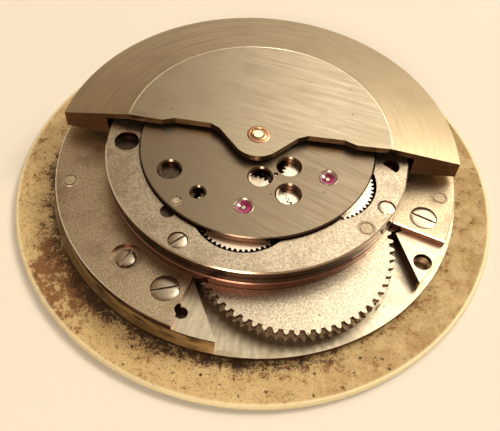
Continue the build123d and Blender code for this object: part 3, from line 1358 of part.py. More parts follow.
with BuildPart() as rotor_bushing:
    extrude(ring_face(centre, rotor_bushing_radius, rotor_axle_radius, bearing_top + running_gap),
            amount=rotor_bushing_top - bearing_top - running_gap)
save(rotor_bushing, "rotor_bushing")

with BuildPart() as rotor_wheel:
    extrude(spoked_gear_face(centre, reverser_module, rotor_wheel_teeth, rotor_wheel_phase,
                             lower_gear_bottom, 0, 5, hub=rotor_wheel_hub),
            amount=lower_gear_top - lower_gear_bottom)
    arbor(centre, lower_gear_bottom, rotor_axle_top, rotor_axle_radius)
save(rotor_wheel, "rotor_wheel")
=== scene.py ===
"""Looks of the automatic watch movement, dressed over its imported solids."""
import logging
import math
from dataclasses import dataclass
from enum import Enum
from typing import Iterable, Sequence

import bmesh
import bpy
from mathutils import Matrix, Vector


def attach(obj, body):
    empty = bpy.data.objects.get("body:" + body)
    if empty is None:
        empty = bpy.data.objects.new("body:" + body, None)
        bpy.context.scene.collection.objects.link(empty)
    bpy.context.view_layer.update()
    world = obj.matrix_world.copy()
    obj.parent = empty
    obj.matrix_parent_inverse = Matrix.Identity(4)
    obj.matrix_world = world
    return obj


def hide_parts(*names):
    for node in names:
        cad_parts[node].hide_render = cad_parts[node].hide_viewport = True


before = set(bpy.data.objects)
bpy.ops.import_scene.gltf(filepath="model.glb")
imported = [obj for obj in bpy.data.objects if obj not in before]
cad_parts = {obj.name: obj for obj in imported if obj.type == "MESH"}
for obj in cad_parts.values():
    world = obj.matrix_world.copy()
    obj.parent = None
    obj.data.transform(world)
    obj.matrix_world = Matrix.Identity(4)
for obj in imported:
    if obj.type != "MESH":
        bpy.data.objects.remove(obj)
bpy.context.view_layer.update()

log = logging.getLogger("movement")
MM = 0.001
WELD = 0.0005
TINY = 0.0001

Colour = tuple[float, float, float]
Corner = tuple[float, float, float]
Place = tuple[float, float]
Span = tuple[float, float]
Noise = tuple[float, float, float]

# Painted shade for recesses and holes, laid over a finish below a set height.
RECESS_SHADE = (0.035, 0.022, 0.014)
DARK = (0.05, 0.03, 0.02)
PIT = (0.04, 0.03, 0.02)
# Black-brown for soot specks, and for painted shadow on the dial near the movement.
SOOT_AND_SHADOW = (0.035, 0.018, 0.009)
FULL_TURN = 360
FLAT_SPAN = (0.84, 0.92)
BEVEL_SPAN = (0.30, 0.50)


def shade(colour: Colour, factor: float) -> Colour:
    """A colour made darker or lighter."""
    return tuple(min(1.0, factor * part) for part in colour)


class Wire:
    """An output socket of a node, with arithmetic that adds Math nodes."""

    def __init__(self, graph: "Graph", socket: bpy.types.NodeSocket) -> None:
        """Keep the socket and the graph that it belongs to."""
        self.graph = graph
        self.socket = socket

    def _math(self, operation: str, *values: "Wire | float") -> "Wire":
        """Add one Math node.

        Args:
            operation: the node's operation.
            values: its values or links, in order.

        Returns:
            The node's output.
        """
        return self.graph.node("ShaderNodeMath", {"operation": operation}, dict(enumerate(values)))

    def __add__(self, other: "Wire | float") -> "Wire":
        """Sum."""
        return self._math("ADD", self, other)

    __radd__ = __add__

    def __sub__(self, other: "Wire | float") -> "Wire":
        """Difference."""
        return self._math("SUBTRACT", self, other)

    def __rsub__(self, other: "Wire | float") -> "Wire":
        """Difference the other way."""
        return self._math("SUBTRACT", other, self)

    def __mul__(self, other: "Wire | float") -> "Wire":
        """Product."""
        return self._math("MULTIPLY", self, other)

    __rmul__ = __mul__

    def __truediv__(self, other: "Wire | float") -> "Wire":
        """Quotient."""
        return self._math("DIVIDE", self, other)

    def __rtruediv__(self, other: "Wire | float") -> "Wire":
        """Quotient the other way."""
        return self._math("DIVIDE", other, self)

    def __pow__(self, other: "Wire | float") -> "Wire":
        """Power."""
        return self._math("POWER", self, other)

    def __rpow__(self, other: "Wire | float") -> "Wire":
        """Power the other way."""
        return self._math("POWER", other, self)

    def __abs__(self) -> "Wire":
        """Size without the sign."""
        return self._math("ABSOLUTE", self)

    def larger(self, other: "Wire | float") -> "Wire":
        """The larger of two values."""
        return self._math("MAXIMUM", self, other)

    def ramp(self, low: float, high: float) -> "Wire":
        """Smooth step from 0 to 1.

        Args:
            low: the value that gives 0.
            high: the value that gives 1, which may be the smaller one.

        Returns:
            The mask.
        """
        falls = high < low
        start, end = (high, low) if falls else (low, high)
        mask = self.graph.node(
            "ShaderNodeMapRange", {"interpolation_type": "SMOOTHSTEP"},
            {"Value": self, "From Min": start, "From Max": end},
        )
        return 1 - mask if falls else mask


def weigh(masks: Sequence[Wire], weights: Sequence[float]) -> Wire:
    """Add masks up, each times its weight.

    Args:
        masks: the masks.
        weights: one weight for each.

    Returns:
        The sum.
    """
    total = masks[0] * weights[0]
    for mask, weight in zip(masks[1:], weights[1:]):
        total = total + mask * weight
    return total


class Graph:
    """The node tree of a material or the world, with one shader at its end."""

    def __init__(self, owner: bpy.types.Material | bpy.types.World,
                 shader: str = "ShaderNodeBsdfPrincipled",
                 output: str = "ShaderNodeOutputMaterial") -> None:
        """Clear the owner's tree and put in the shader.

        Args:
            owner: the material or the world.
            shader: the type of the shader's node.
            output: the type of the node that it ends in.
        """
        owner.use_nodes = True
        self.tree = owner.node_tree
        self.tree.nodes.clear()
        self.shader = self.tree.nodes.new(shader)
        self.tree.links.new(self.shader.outputs[0], self.tree.nodes.new(output).inputs[0])

    def node(self, kind: str, settings: dict[str, object] | None = None,
             inputs: dict[int | str, object] | None = None, output: int | str = 0) -> Wire:
        """Add a node.

        Args:
            kind: the node's type.
            settings: attributes that are set first; "stops" fills a colour ramp.
            inputs: values or wires by socket name or number.
            output: the socket that is returned.

        Returns:
            The chosen output.
        """
        made = self.tree.nodes.new(kind)
        for key, value in (settings or {}).items():
            if key == "stops":
                self.fill_ramp(made.color_ramp, value)
            else:
                setattr(made, key, value)
        for key, value in (inputs or {}).items():
            self.feed(made.inputs[key], value)
        return Wire(self, made.outputs[output])

    @staticmethod
    def fill_ramp(ramp: bpy.types.ColorRamp, stops: Sequence[tuple[float, Colour]]) -> None:
        """Put colours along a ramp.

        Args:
            ramp: the ramp, which starts with two colours.
            stops: at least two positions with their colours.
        """
        while len(ramp.elements) < len(stops):
            ramp.elements.new(0.5)
        for element, (position, colour) in zip(ramp.elements, stops):
            element.position = position
            element.color = (*colour, 1.0)

    def feed(self, socket: bpy.types.NodeSocket, value: "Wire | float | Sequence[float]") -> None:
        """Link a wire to a socket, or set the socket's own value.

        Args:
            socket: the input socket.
            value: a wire, a number, or a vector or colour.
        """
        if isinstance(value, Wire):
            self.tree.links.new(value.socket, socket)
        elif isinstance(value, (int, float)):
            socket.default_value = value
        else:
            size = len(socket.default_value)
            socket.default_value = (*value, 1.0)[:size]

    def set(self, **values: "Wire | float | Sequence[float]") -> None:
        """Feed the shader's sockets, named with underscores for spaces."""
        for key, value in values.items():
            self.feed(self.shader.inputs[key.replace("_", " ")], value)

    def place(self) -> Wire:
        """Object coordinates in millimetres."""
        raw = self.node("ShaderNodeTexCoord", output="Object")
        return self.node("ShaderNodeVectorMath", {"operation": "SCALE"}, {0: raw, "Scale": 1 / MM})

    def stretched(self, place: Wire, scale: Sequence[float], turn: float = 0.0) -> Wire:
        """Turned, then scaled coordinates.

        Args:
            place: the coordinates.
            scale: factor along each axis.
            turn: angle about Z in degrees, taken before the scale.

        Returns:
            The new coordinates.
        """
        turned = self.node("ShaderNodeVectorRotate", {"rotation_type": "Z_AXIS"},
                           {"Vector": place, "Angle": math.radians(-turn)})
        return self.node("ShaderNodeVectorMath", {"operation": "MULTIPLY"}, {0: turned, 1: scale})

    def parts(self, vector: Wire) -> tuple[Wire, ...]:
        """The three parts of a vector."""
        split = self.node("ShaderNodeSeparateXYZ", None, {0: vector}).socket.node
        return tuple(Wire(self, socket) for socket in split.outputs)

    @staticmethod
    def reach(x: Wire, y: Wire) -> Wire:
        """Distance from the Z axis."""
        return (x * x + y * y + TINY) ** 0.5

    def wrapped(self, place: Wire, around: float, along: float) -> Wire:
        """Coordinates whose noise runs in rings or rays about the Z axis.

        Args:
            place: the coordinates.
            around: factor for the direction from the axis.
            along: factor for the distance from it.

        Returns:
            The new coordinates.
        """
        x, y, _z = self.parts(place)
        reach = self.reach(x, y)
        return self.node("ShaderNodeCombineXYZ", None,
                         {0: x / reach * around, 1: y / reach * around, 2: reach * along})

    def noise(self, place: Wire, scale: float, detail: float = 2.0, rough: float = 0.5) -> Wire:
        """Noise from 0 to 1 over some coordinates."""
        return self.node("ShaderNodeTexNoise", None,
                         {"Vector": place, "Scale": scale, "Detail": detail, "Roughness": rough})

    def cells(self, place: Wire, scale: float) -> Wire:
        """Distance to the nearest of many scattered points."""
        return self.node("ShaderNodeTexVoronoi", None, {"Vector": place, "Scale": scale})

    def mix(self, factor: "Wire | float", first: "Wire | Colour", second: "Wire | Colour") -> Wire:
        """A blend of two colours."""
        return self.node("ShaderNodeMix", {"data_type": "RGBA"}, {0: factor, 6: first, 7: second},
                         output=2)

    def bump(self, height: Wire, depth: float, strength: float) -> Wire:
        """A normal from a height.

        Args:
            height: the height from 0 to 1.
            depth: what a height of 1 stands for, in millimetres.
            strength: how much of it is used.

        Returns:
            The normal.
        """
        return self.node("ShaderNodeBump", None,
                         {"Height": height, "Distance": depth * MM, "Strength": strength})

    def upright(self) -> Wire:
        """How far the surface looks up, from -1 to 1."""
        return self.parts(self.node("ShaderNodeNewGeometry", output="True Normal"))[2]

    def facing(self) -> tuple[Wire, Wire]:
        """Tell flats, bevels and walls apart.

        Returns:
            A mask of the flats and one of the bevels; both are 0 on walls.
        """
        upright = abs(self.upright())
        flat = upright.ramp(*FLAT_SPAN)
        return flat, upright.ramp(*BEVEL_SPAN) * (1 - flat)


class Brush(Enum):
    """Which way the fine lines of a brushed surface run."""

    STRAIGHT = "straight"
    ROUND = "round"


@dataclass(frozen=True)
class Layer:
    """A colour that comes in where a mask passes through a span."""

    colour: Colour
    span: Span
    share: float = 1.0

    def over(self, graph: Graph, tone: "Wire | Colour", mask: Wire,
             amount: "Wire | float" = 1.0) -> Wire:
        """Lay the colour over a tone.

        Args:
            graph: the material's graph.
            tone: what is covered.
            mask: what passes through the span.
            amount: how much of the layer is used.

        Returns:
            The new tone.
        """
        return graph.mix(mask.ramp(*self.span) * (self.share * amount), tone, self.colour)


@dataclass(frozen=True)
class Finish:
    """A surface that a piece can have."""

    name: str

    def paint(self, graph: Graph) -> None:
        """Set up the shader of the finish's material."""
        raise NotImplementedError

    def material(self) -> bpy.types.Material:
        """Give the finish's material, which is made once.

        Returns:
            The material.
        """
        known = bpy.data.materials.get(self.name)
        if known:
            return known
        made = bpy.data.materials.new(self.name)
        self.paint(Graph(made))
        return made


@dataclass(frozen=True)
class Metal(Finish):
    """Metal whose flats, bevels and walls each have their own tone: the walls' darker tone is painted shade,
    and the bevels' tone, lighter on most finishes, a painted highlight.
    """

    colour: Colour = (0.50, 0.44, 0.35)
    stain: Colour = (0.26, 0.18, 0.12)
    # The bevels' tone: a painted highlight where it is lighter than the flats, painted shade where it is
    # darker.
    edge: Colour = (0.70, 0.60, 0.46)
    # The walls' tone, darker than the flats: painted shade.
    wall: Colour = (0.20, 0.09, 0.06)
    roughness: float = 0.28
    stains: float = 0.40
    metal: float = 1.0
    # Below this height in millimetres the surface gets painted shade for its recesses and holes.
    shade_below: float = -10.0
    shade_blur: float = 0.02
    shade_share: float = 0.85
    cloud: Noise = (0.55, 5, 0.62)
    cloud_span: Span = (0.46, 0.70)
    blot: Noise = (2.3, 4, 0.65)
    blot_span: Span = (0.56, 0.74)
    blot_share: float = 0.7
    pit_scale: float = 0.9
    pit: Layer = Layer(PIT, (0.055, 0.035), 0.9)
    band_scale: tuple[float, float, float] = (0.7, 0.7, 7.0)
    band_noise: Noise = (1.0, 3, 0.5)
    band_span: Span = (0.35, 0.72)
    band_share: float = 0.6
    band_shade: float = 0.35
    relief_strength: float = 0.8

    def surface(self, graph: Graph, top: Wire, flat: Wire, bevel: Wire, place: Wire) -> Wire:
        """Put the flats' tone together with the bevels' and the walls' painted tones, and lay painted shade
        over all that lies below a set height.

        Args:
            graph: the material's graph.
            top: the flats' colour.
            flat: 1 on flats.
            bevel: 1 on bevels.
            place: coordinates in millimetres.

        Returns:
            The whole surface's colour.
        """
        # Walls get their painted shade, with darker bands, and bevels get their own painted tone.
        band = graph.noise(graph.stretched(place, self.band_scale), *self.band_noise)
        dull = Layer(shade(self.wall, self.band_shade), self.band_span, self.band_share)
        side = graph.mix(bevel, dull.over(graph, self.wall, band), self.edge)
        # Painted shade over all that lies below the set height.
        low, high = self.shade_below + self.shade_blur, self.shade_below - self.shade_blur
        return Layer(RECESS_SHADE, (low, high), self.shade_share).over(
            graph, graph.mix(flat, side, top), graph.parts(place)[2])

    def stained(self, graph: Graph, place: Wire, tone: "Wire | Colour") -> Wire:
        """Put soft brown stains and a few dark pits on a tone.

        Args:
            graph: the material's graph.
            place: coordinates in millimetres.
            tone: the clean tone.

        Returns:
            The stained tone.
        """
        soft = Layer(self.stain, self.cloud_span, self.stains)
        small = Layer(self.stain, self.blot_span, self.stains * self.blot_share)
        tone = soft.over(graph, tone, graph.noise(place, *self.cloud))
        tone = small.over(graph, tone, graph.noise(place, *self.blot))
        return self.pit.over(graph, tone, graph.cells(place, self.pit_scale))


@dataclass(frozen=True)
class Frosted(Metal):
    """Fine-grained plated metal with soft stains and a few dark pits."""

    grain: float = 10.0
    grain_detail: float = 3
    grain_rough: float = 0.7
    grain_span: Span = (0.36, 0.66)
    grain_shades: tuple[float, float] = (0.66, 1.27)
    glint_finer: float = 3
    glint_span: Span = (0.62, 0.72)
    glint_share: float = 0.5
    glint_shade: float = 2.2
    uneven: tuple[float, float] = (0.12, -0.08)
    depth: float = 0.010
    relief: tuple[float, float] = (0.6, 0.4)

    def paint(self, graph: Graph) -> None:
        """Grain, stains and pits on the flats, smoother walls.

        Args:
            graph: the material's graph.
        """
        place = graph.place()
        flat, bevel = graph.facing()
        coarse = graph.noise(place, self.grain, self.grain_detail, self.grain_rough)
        fine = graph.noise(place, self.grain * self.glint_finer)
        dark, light = (shade(self.colour, factor) for factor in self.grain_shades)
        glint = Layer(shade(self.colour, self.glint_shade), self.glint_span, self.glint_share)
        tone = glint.over(graph, graph.mix(coarse.ramp(*self.grain_span), dark, light), fine)
        tone = self.stained(graph, place, tone)
        height = weigh((coarse, fine), self.relief) * flat
        graph.set(Metallic=self.metal, Base_Color=self.surface(graph, tone, flat, bevel, place),
                  Roughness=self.roughness + weigh((coarse * flat, bevel), self.uneven),
                  Normal=graph.bump(height, self.depth, self.relief_strength))


@dataclass(frozen=True)
class Brushed(Metal):
    """Metal with fine lines, straight or round the axis."""

    roughness: float = 0.30
    brush: Brush = Brush.STRAIGHT
    turn: float = 0.0
    lines: float = 7.0
    length: float = 0.22
    round_length: float = 9
    fine_lines: float = 2.2
    fine_length: float = 2
    broad_lines: float = 0.5
    fine_noise: Noise = (1.0, 2, 0.6)
    broad_noise: Noise = (1.0, 3, 0.65)
    streak_weights: tuple[float, float] = (0.45, 0.55)
    streak_span: Span = (0.34, 0.68)
    streak_shades: tuple[float, float] = (1.14, 0.62)
    streaks: float = 0.6
    uneven: tuple[float, float] = (0.16, -0.06)
    depth: float = 0.006
    relief: tuple[float, float] = (0.5, 0.5)

    def lined(self, graph: Graph, place: Wire, lines: float, length: float) -> Wire:
        """Stretch coordinates so that a noise runs along the brushed lines.

        Args:
            graph: the material's graph.
            place: coordinates in millimetres.
            lines: how many lines to a millimetre.
            length: how many changes to a millimetre along a line.

        Returns:
            The new coordinates.
        """
        if self.brush is Brush.STRAIGHT:
            return graph.stretched(place, (length, lines, length), self.turn)
        return graph.wrapped(place, length * self.round_length, lines)

    def paint(self, graph: Graph) -> None:
        """Fine and broad lines over soft stains.

        Args:
            graph: the material's graph.
        """
        place = graph.place()
        flat, bevel = graph.facing()
        thin = self.lined(graph, place, self.lines * self.fine_lines, self.length * self.fine_length)
        fine = graph.noise(thin, *self.fine_noise)
        wide = self.lined(graph, place, self.lines * self.broad_lines, self.length)
        broad = graph.noise(wide, *self.broad_noise)
        streak = weigh((fine, broad), self.streak_weights).ramp(*self.streak_span)
        light, dark = (shade(self.colour, factor) for factor in self.streak_shades)
        tone = self.stained(graph, place, graph.mix(streak * self.streaks, light, dark))
        height = weigh((fine, broad), self.relief) * flat
        graph.set(Metallic=self.metal, Base_Color=self.surface(graph, tone, flat, bevel, place),
                  Roughness=self.roughness + weigh((streak * flat, bevel), self.uneven),
                  Normal=graph.bump(height, self.depth, self.relief_strength))


@dataclass(frozen=True)
class Polished(Metal):
    """Polished metal with hairline scratches and faint smears."""

    colour: Colour = (0.66, 0.60, 0.50)
    roughness: float = 0.16
    smear: Noise = (1.4, 4, 0.6)
    smear_span: Span = (0.40, 0.75)
    turn: float = 25.0
    crossing: float = 67.0
    scratch_lines: tuple[float, float] = (14.0, 11.0)
    scratch_length: float = 0.8
    scratch_spans: tuple[Span, Span] = ((0.62, 0.72), (0.64, 0.74))
    scratches: float = 0.6
    uneven: tuple[float, float] = (0.14, 0.15)
    depth: float = 0.003
    relief_strength: float = 0.6

    def paint(self, graph: Graph) -> None:
        """Two sets of scratches over a smeared tone.

        Args:
            graph: the material's graph.
        """
        place = graph.place()
        flat, bevel = graph.facing()
        cloud = graph.noise(place, *self.smear)
        first, second = (
            graph.noise(graph.stretched(place, (self.scratch_length, lines, self.scratch_length), turn), 1.0)
            for lines, turn in zip(self.scratch_lines, (self.turn, self.turn + self.crossing))
        )
        near, far = self.scratch_spans
        scratch = first.ramp(*near).larger(second.ramp(*far)) * self.scratches
        tone = Layer(self.stain, self.smear_span, self.stains).over(graph, self.colour, cloud)
        graph.set(Metallic=self.metal, Base_Color=self.surface(graph, tone, flat, bevel, place),
                  Roughness=self.roughness + weigh((cloud, scratch), self.uneven),
                  Normal=graph.bump(scratch, self.depth, self.relief_strength))


@dataclass(frozen=True)
class PlateMetal(Metal):
    """The main plate: bright scratched flats, dark walls of painted shade with a line of bare brass."""

    colour: Colour = (0.66, 0.59, 0.45)
    roughness: float = 0.27
    radius: float = 12.4
    ray_scale: tuple[float, float] = (40, 0.5)
    ray_noise: Noise = (1.0, 3, 0.6)
    ray_span: Span = (0.36, 0.70)
    ray_shade: float = 0.55
    ray_share: float = 0.55
    cross_scale: tuple[float, float, float] = (0.5, 9.0, 0.5)
    cross_turn: float = 58.0
    cross_span: Span = (0.60, 0.72)
    cross_shade: float = 1.3
    cross_share: float = 0.5
    brass: Colour = (0.62, 0.46, 0.25)
    brass_low: float = 0.96
    brass_high: float = 1.70
    brass_blur: float = 0.04
    brass_inset: Span = (0.2, 0.1)
    worn_scale: tuple[float, float, float] = (0.9, 0.9, 3.0)
    worn_noise: Noise = (1.0, 3, 0.5)
    worn_span: Span = (0.30, 0.55)
    front_span: Span = (-2.0, -8.0)
    back_share: float = 0.1
    flange_dark: Colour = (0.30, 0.22, 0.12)
    flange_blur: float = 0.02
    flange_dark_side: Span = (3.0, -5.0)
    flange_dark_least: float = 0.55
    flange_dark_worn: float = 0.4
    uneven: tuple[float, float] = (0.2, 0.15)
    depth: float = 0.008
    relief: tuple[float, float] = (0.6, 0.4)

    def paint(self, graph: Graph) -> None:
        """Scratches that run out from the axis on the flats, bare brass and painted shade on the walls, and
        a flange that darkens towards the left.

        Args:
            graph: the material's graph.
        """
        place = graph.place()
        flat, bevel = graph.facing()
        x, y, z = graph.parts(place)
        reach = graph.reach(x, y)
        rays = graph.noise(graph.wrapped(place, *self.ray_scale), *self.ray_noise)
        crossed = graph.stretched(place, self.cross_scale, self.cross_turn)
        cross = graph.noise(crossed, *self.ray_noise)
        dull = Layer(shade(self.colour, self.ray_shade), self.ray_span, self.ray_share)
        bright = Layer(shade(self.colour, self.cross_shade), self.cross_span, self.cross_share)
        top = bright.over(graph, dull.over(graph, self.colour, rays), cross)
        tone = self.surface(graph, self.stained(graph, place, top), flat, bevel, place)
        strip = (z.ramp(self.brass_low, self.brass_low + self.brass_blur)
                 * z.ramp(self.brass_high + self.brass_blur, self.brass_high)
                 * reach.ramp(*(self.radius - inset for inset in self.brass_inset)))
        wear = graph.noise(graph.stretched(place, self.worn_scale), *self.worn_noise)
        worn = wear.ramp(*self.worn_span)
        front = y.ramp(*self.front_span) * (1 - self.back_share) + self.back_share
        tone = graph.mix(strip * worn * front * (1 - flat) * (1 - bevel), tone, self.brass)
        # The flange's top darkens towards the left, more where the wear noise is high.
        flange = reach.ramp(self.radius - self.flange_blur, self.radius + self.flange_blur)
        spread = flange * x.ramp(*self.flange_dark_side) * (self.flange_dark_least + self.flange_dark_worn * worn)
        height = weigh((rays, cross), self.relief) * flat
        graph.set(Metallic=self.metal, Base_Color=graph.mix(spread * flat, tone, self.flange_dark),
                  Roughness=self.roughness + weigh((rays * flat, 1 - flat), self.uneven),
                  Normal=graph.bump(height, self.depth, self.relief_strength))


@dataclass(frozen=True)
class TarnishedGilt(Finish):
    """The dial: worn gilding at the back, a brushed silver face with a printed ring in front."""

    radius: float = 15.2
    roughness: float = 0.48
    broad_noise: Noise = (0.30, 5, 0.62)
    patch_noise: Noise = (0.85, 6, 0.70)
    blotch_noise: Noise = (1.9, 5, 0.66)
    grit_noise: Noise = (5.0, 6, 0.75)
    dust_noise: Noise = (12.0, 3, 0.7)
    freckle_noise: Noise = (9.0, 4, 0.8)
    light: Colour = (0.49, 0.365, 0.185)
    deep: Layer = Layer((0.33, 0.22, 0.085), (0.36, 0.60))
    gritty: Layer = Layer((0.33, 0.22, 0.085), (0.40, 0.66), 0.5)
    green: Layer = Layer((0.34, 0.30, 0.09), (0.50, 0.62), 0.5)
    tan: Layer = Layer((0.27, 0.125, 0.036), (0.515, 0.60), 0.75)
    umber: Layer = Layer((0.15, 0.075, 0.025), (0.52, 0.64))
    rust: Layer = Layer((0.20, 0.075, 0.02), (0.560, 0.615), 0.9)
    # Soot, with painted shadow near the movement that is heaviest on the left.
    soot_and_shadow: Layer = Layer(SOOT_AND_SHADOW, (0.585, 0.66), 0.88)
    specks: Layer = Layer(SOOT_AND_SHADOW, (0.26, 0.42))
    green_weights: tuple[float, ...] = (0.5, 0.5)
    tan_weights: tuple[float, ...] = (0.55, 0.25, 0.20)
    rust_weights: tuple[float, ...] = (0.35, 0.35, 0.30, 0.05, 0.08, 0.03)
    soot_and_shadow_weights: tuple[float, ...] = (0.30, 0.35, 0.35, 0.06, 0.10)
    speck_weights: tuple[float, ...] = (0.7, 0.2)
    speck_scale: float = 1.5
    speck_spans: tuple[Span, Span] = ((0.20, 0.11), (0.42, 0.54))
    small_scale: float = 4.2
    small_spans: tuple[Span, Span] = ((0.24, 0.14), (0.48, 0.58))
    stain_at: Place = (-10.9, -8.3)
    stain_span: Span = (5.0, 1.0)
    inner_span: Span = (14.2, 12.7)
    left_way: tuple[float, float] = (-0.75, -0.55)
    left_span: Span = (-4.0, 11.0)
    # Painted light: how much lighter the dial is made towards the left, and its share.
    left_light: float = 1.6
    left_light_share: float = 0.45
    freckle_least: float = 0.35
    freckle_left: float = 0.3
    rim: Colour = (0.78, 0.68, 0.44)
    rim_inset: Span = (0.32, 0.12)
    rim_share: float = 0.8
    face: Colour = (0.74, 0.73, 0.70)
    face_rays: float = 60
    face_noise: Noise = (1.0, 2, 0.6)
    face_shade: float = 0.7
    face_share: float = 0.4
    ring: Colour = (0.03, 0.03, 0.04)
    ring_spans: tuple[Span, Span] = ((13.68, 13.72), (13.80, 13.76))
    front_span: Span = (-0.4, -0.6)
    front_metal: float = 0.55
    back_metal: float = 0.25
    uneven: tuple[float, ...] = (0.25, -0.14, -0.2)
    depth: float = 0.03
    relief: tuple[float, float] = (0.6, 0.4)
    relief_strength: float = 0.8

    def back(self, graph: Graph, place: Wire, grit: Wire, dust: Wire, edge: Wire) -> Wire:
        """Lay the tarnished mottling on the gilding, with painted light towards the left and front, and
        painted shadow near the movement.

        Args:
            graph: the material's graph.
            place: coordinates in millimetres.
            grit: fine noise.
            dust: the finest noise.
            edge: 1 along the rim.

        Returns:
            The back's colour.
        """
        x, y, _z = graph.parts(place)
        broad = graph.noise(place, *self.broad_noise)
        patch = graph.noise(place, *self.patch_noise)
        blotch = graph.noise(place, *self.blotch_noise)
        freckle = graph.noise(place, *self.freckle_noise)
        near = graph.reach(x - self.stain_at[0], y - self.stain_at[1]).ramp(*self.stain_span)
        inner = graph.reach(x, y).ramp(*self.inner_span)
        left = weigh((x, y), self.left_way).ramp(*self.left_span)
        tone = self.deep.over(graph, self.light, patch)
        tone = self.gritty.over(graph, tone, grit)
        tone = self.green.over(graph, tone, weigh((broad, blotch), self.green_weights))
        tone = self.tan.over(graph, tone, weigh((blotch, patch, grit), self.tan_weights))
        # Painted light: the dial is made lighter towards the left and front.
        tone = graph.mix(left * self.left_light_share, tone, shade(self.light, self.left_light))
        tone = self.umber.over(graph, tone, freckle, self.freckle_least + self.freckle_left * left)
        tone = self.rust.over(
            graph, tone, weigh((grit, blotch, patch, inner, near, left), self.rust_weights))
        # Soot from the noises, and painted shadow where the dial meets the movement, heaviest on the left.
        tone = self.soot_and_shadow.over(
            graph, tone, weigh((dust, grit, patch, inner, left * inner), self.soot_and_shadow_weights))
        around, inside = self.speck_spans
        speck = graph.cells(place, self.speck_scale).ramp(*around) * grit.ramp(*inside)
        around, inside = self.small_spans
        small = graph.cells(place, self.small_scale).ramp(*around) * dust.ramp(*inside)
        tone = self.specks.over(graph, tone, weigh((patch, left), self.speck_weights),
                                speck.larger(small))
        return graph.mix(edge * self.rim_share, tone, self.rim)

    def front(self, graph: Graph, place: Wire, reach: Wire) -> Wire:
        """Brush the silver face and print its ring.

        Args:
            graph: the material's graph.
            place: coordinates in millimetres.
            reach: distance from the axis.

        Returns:
            The face's colour.
        """
        rays = graph.noise(graph.wrapped(place, self.face_rays, 0.0), *self.face_noise)
        silver = graph.mix(rays * self.face_share, self.face, shade(self.face, self.face_shade))
        inside, outside = self.ring_spans
        return graph.mix(reach.ramp(*inside) * reach.ramp(*outside), silver, self.ring)

    def paint(self, graph: Graph) -> None:
        """Mottling that thins out to a bright rim, and a plain front.

        Args:
            graph: the material's graph.
        """
        place = graph.place()
        x, y, _z = graph.parts(place)
        reach = graph.reach(x, y)
        grit = graph.noise(place, *self.grit_noise)
        dust = graph.noise(place, *self.dust_noise)
        edge = reach.ramp(*(self.radius - inset for inset in self.rim_inset))
        front = graph.upright().ramp(*self.front_span)
        tone = graph.mix(front, self.back(graph, place, grit, dust, edge),
                         self.front(graph, place, reach))
        height = weigh((grit, dust), self.relief) * (1 - front)
        graph.set(Metallic=self.back_metal + self.front_metal * front, Base_Color=tone,
                  Roughness=self.roughness + weigh((grit, edge, front), self.uneven),
                  Normal=graph.bump(height, self.depth, self.relief_strength))


@dataclass(frozen=True)
class RubyStone(Finish):
    """Synthetic ruby: deep magenta red, lighter at its cup from a cloud of colour and from a painted
    highlight.
    """

    colour: Colour = (0.14, 0.001, 0.035)
    bloom_and_highlight: Colour = (0.45, 0.020, 0.17)
    cloud: Noise = (3.5, 3, 0.6)
    cloud_span: Span = (0.45, 0.75)
    cloud_share: float = 0.25
    lit_way: tuple[float, float] = (-0.6, 1.0)
    lit_span: Span = (0.02, 0.30)
    lit_share: float = 0.8
    roughness: float = 0.05
    index: float = 1.76
    coat: float = 0.6
    coat_roughness: float = 0.03

    def paint(self, graph: Graph) -> None:
        """A glossy stone with a painted highlight where it faces forward in its cup.

        Args:
            graph: the material's graph.
        """
        cloud = graph.noise(graph.place(), *self.cloud)
        side, ahead, _up = graph.parts(graph.node("ShaderNodeNewGeometry", output="Normal"))
        # Painted highlight where the stone faces the chosen way.
        lit = weigh((side, ahead), self.lit_way).ramp(*self.lit_span) * self.lit_share
        cloud_and_highlight = (cloud.ramp(*self.cloud_span) * self.cloud_share).larger(lit)
        graph.set(Base_Color=graph.mix(cloud_and_highlight, self.colour, self.bloom_and_highlight),
                  Roughness=self.roughness + self.roughness * cloud, IOR=self.index,
                  Coat_Roughness=self.coat_roughness, Coat_Weight=self.coat)


@dataclass(frozen=True)
class Cloth(Finish):
    """The plain pale floor."""

    colour: Colour = (0.72, 0.69, 0.635)
    tooth: Noise = (1.6, 4, 0.6)
    tooth_shade: float = 0.9
    tooth_share: float = 0.12
    roughness: float = 0.9
    depth: float = 0.03
    relief_strength: float = 0.4

    def paint(self, graph: Graph) -> None:
        """Matt, with the faintest tooth.

        Args:
            graph: the material's graph.
        """
        tooth = graph.noise(graph.place(), *self.tooth)
        tone = graph.mix(tooth * self.tooth_share, self.colour, shade(self.colour, self.tooth_shade))
        graph.set(Base_Color=tone, Roughness=self.roughness,
                  Normal=graph.bump(tooth, self.depth, self.relief_strength))


# The ring plate gets painted shade below 3.80 mm, in its recesses and holes.
RING = Frosted("frosted_ring", colour=(0.48, 0.405, 0.305), edge=(0.62, 0.52, 0.38),
               wall=(0.34, 0.135, 0.095), shade_below=3.80)
# The base plate's near-black colour is painted shade, for a plate seen mostly through holes and gaps.
SHADED_BASE = Frosted("frosted_base_painted_shade", colour=(0.10, 0.070, 0.048), edge=(0.28, 0.14, 0.10),
               wall=(0.20, 0.075, 0.055))
# The bridges get painted shade below 1.9 mm.
BRIDGE = Frosted("frosted_bridge", colour=(0.53, 0.425, 0.295), stains=0.55, shade_below=1.9)
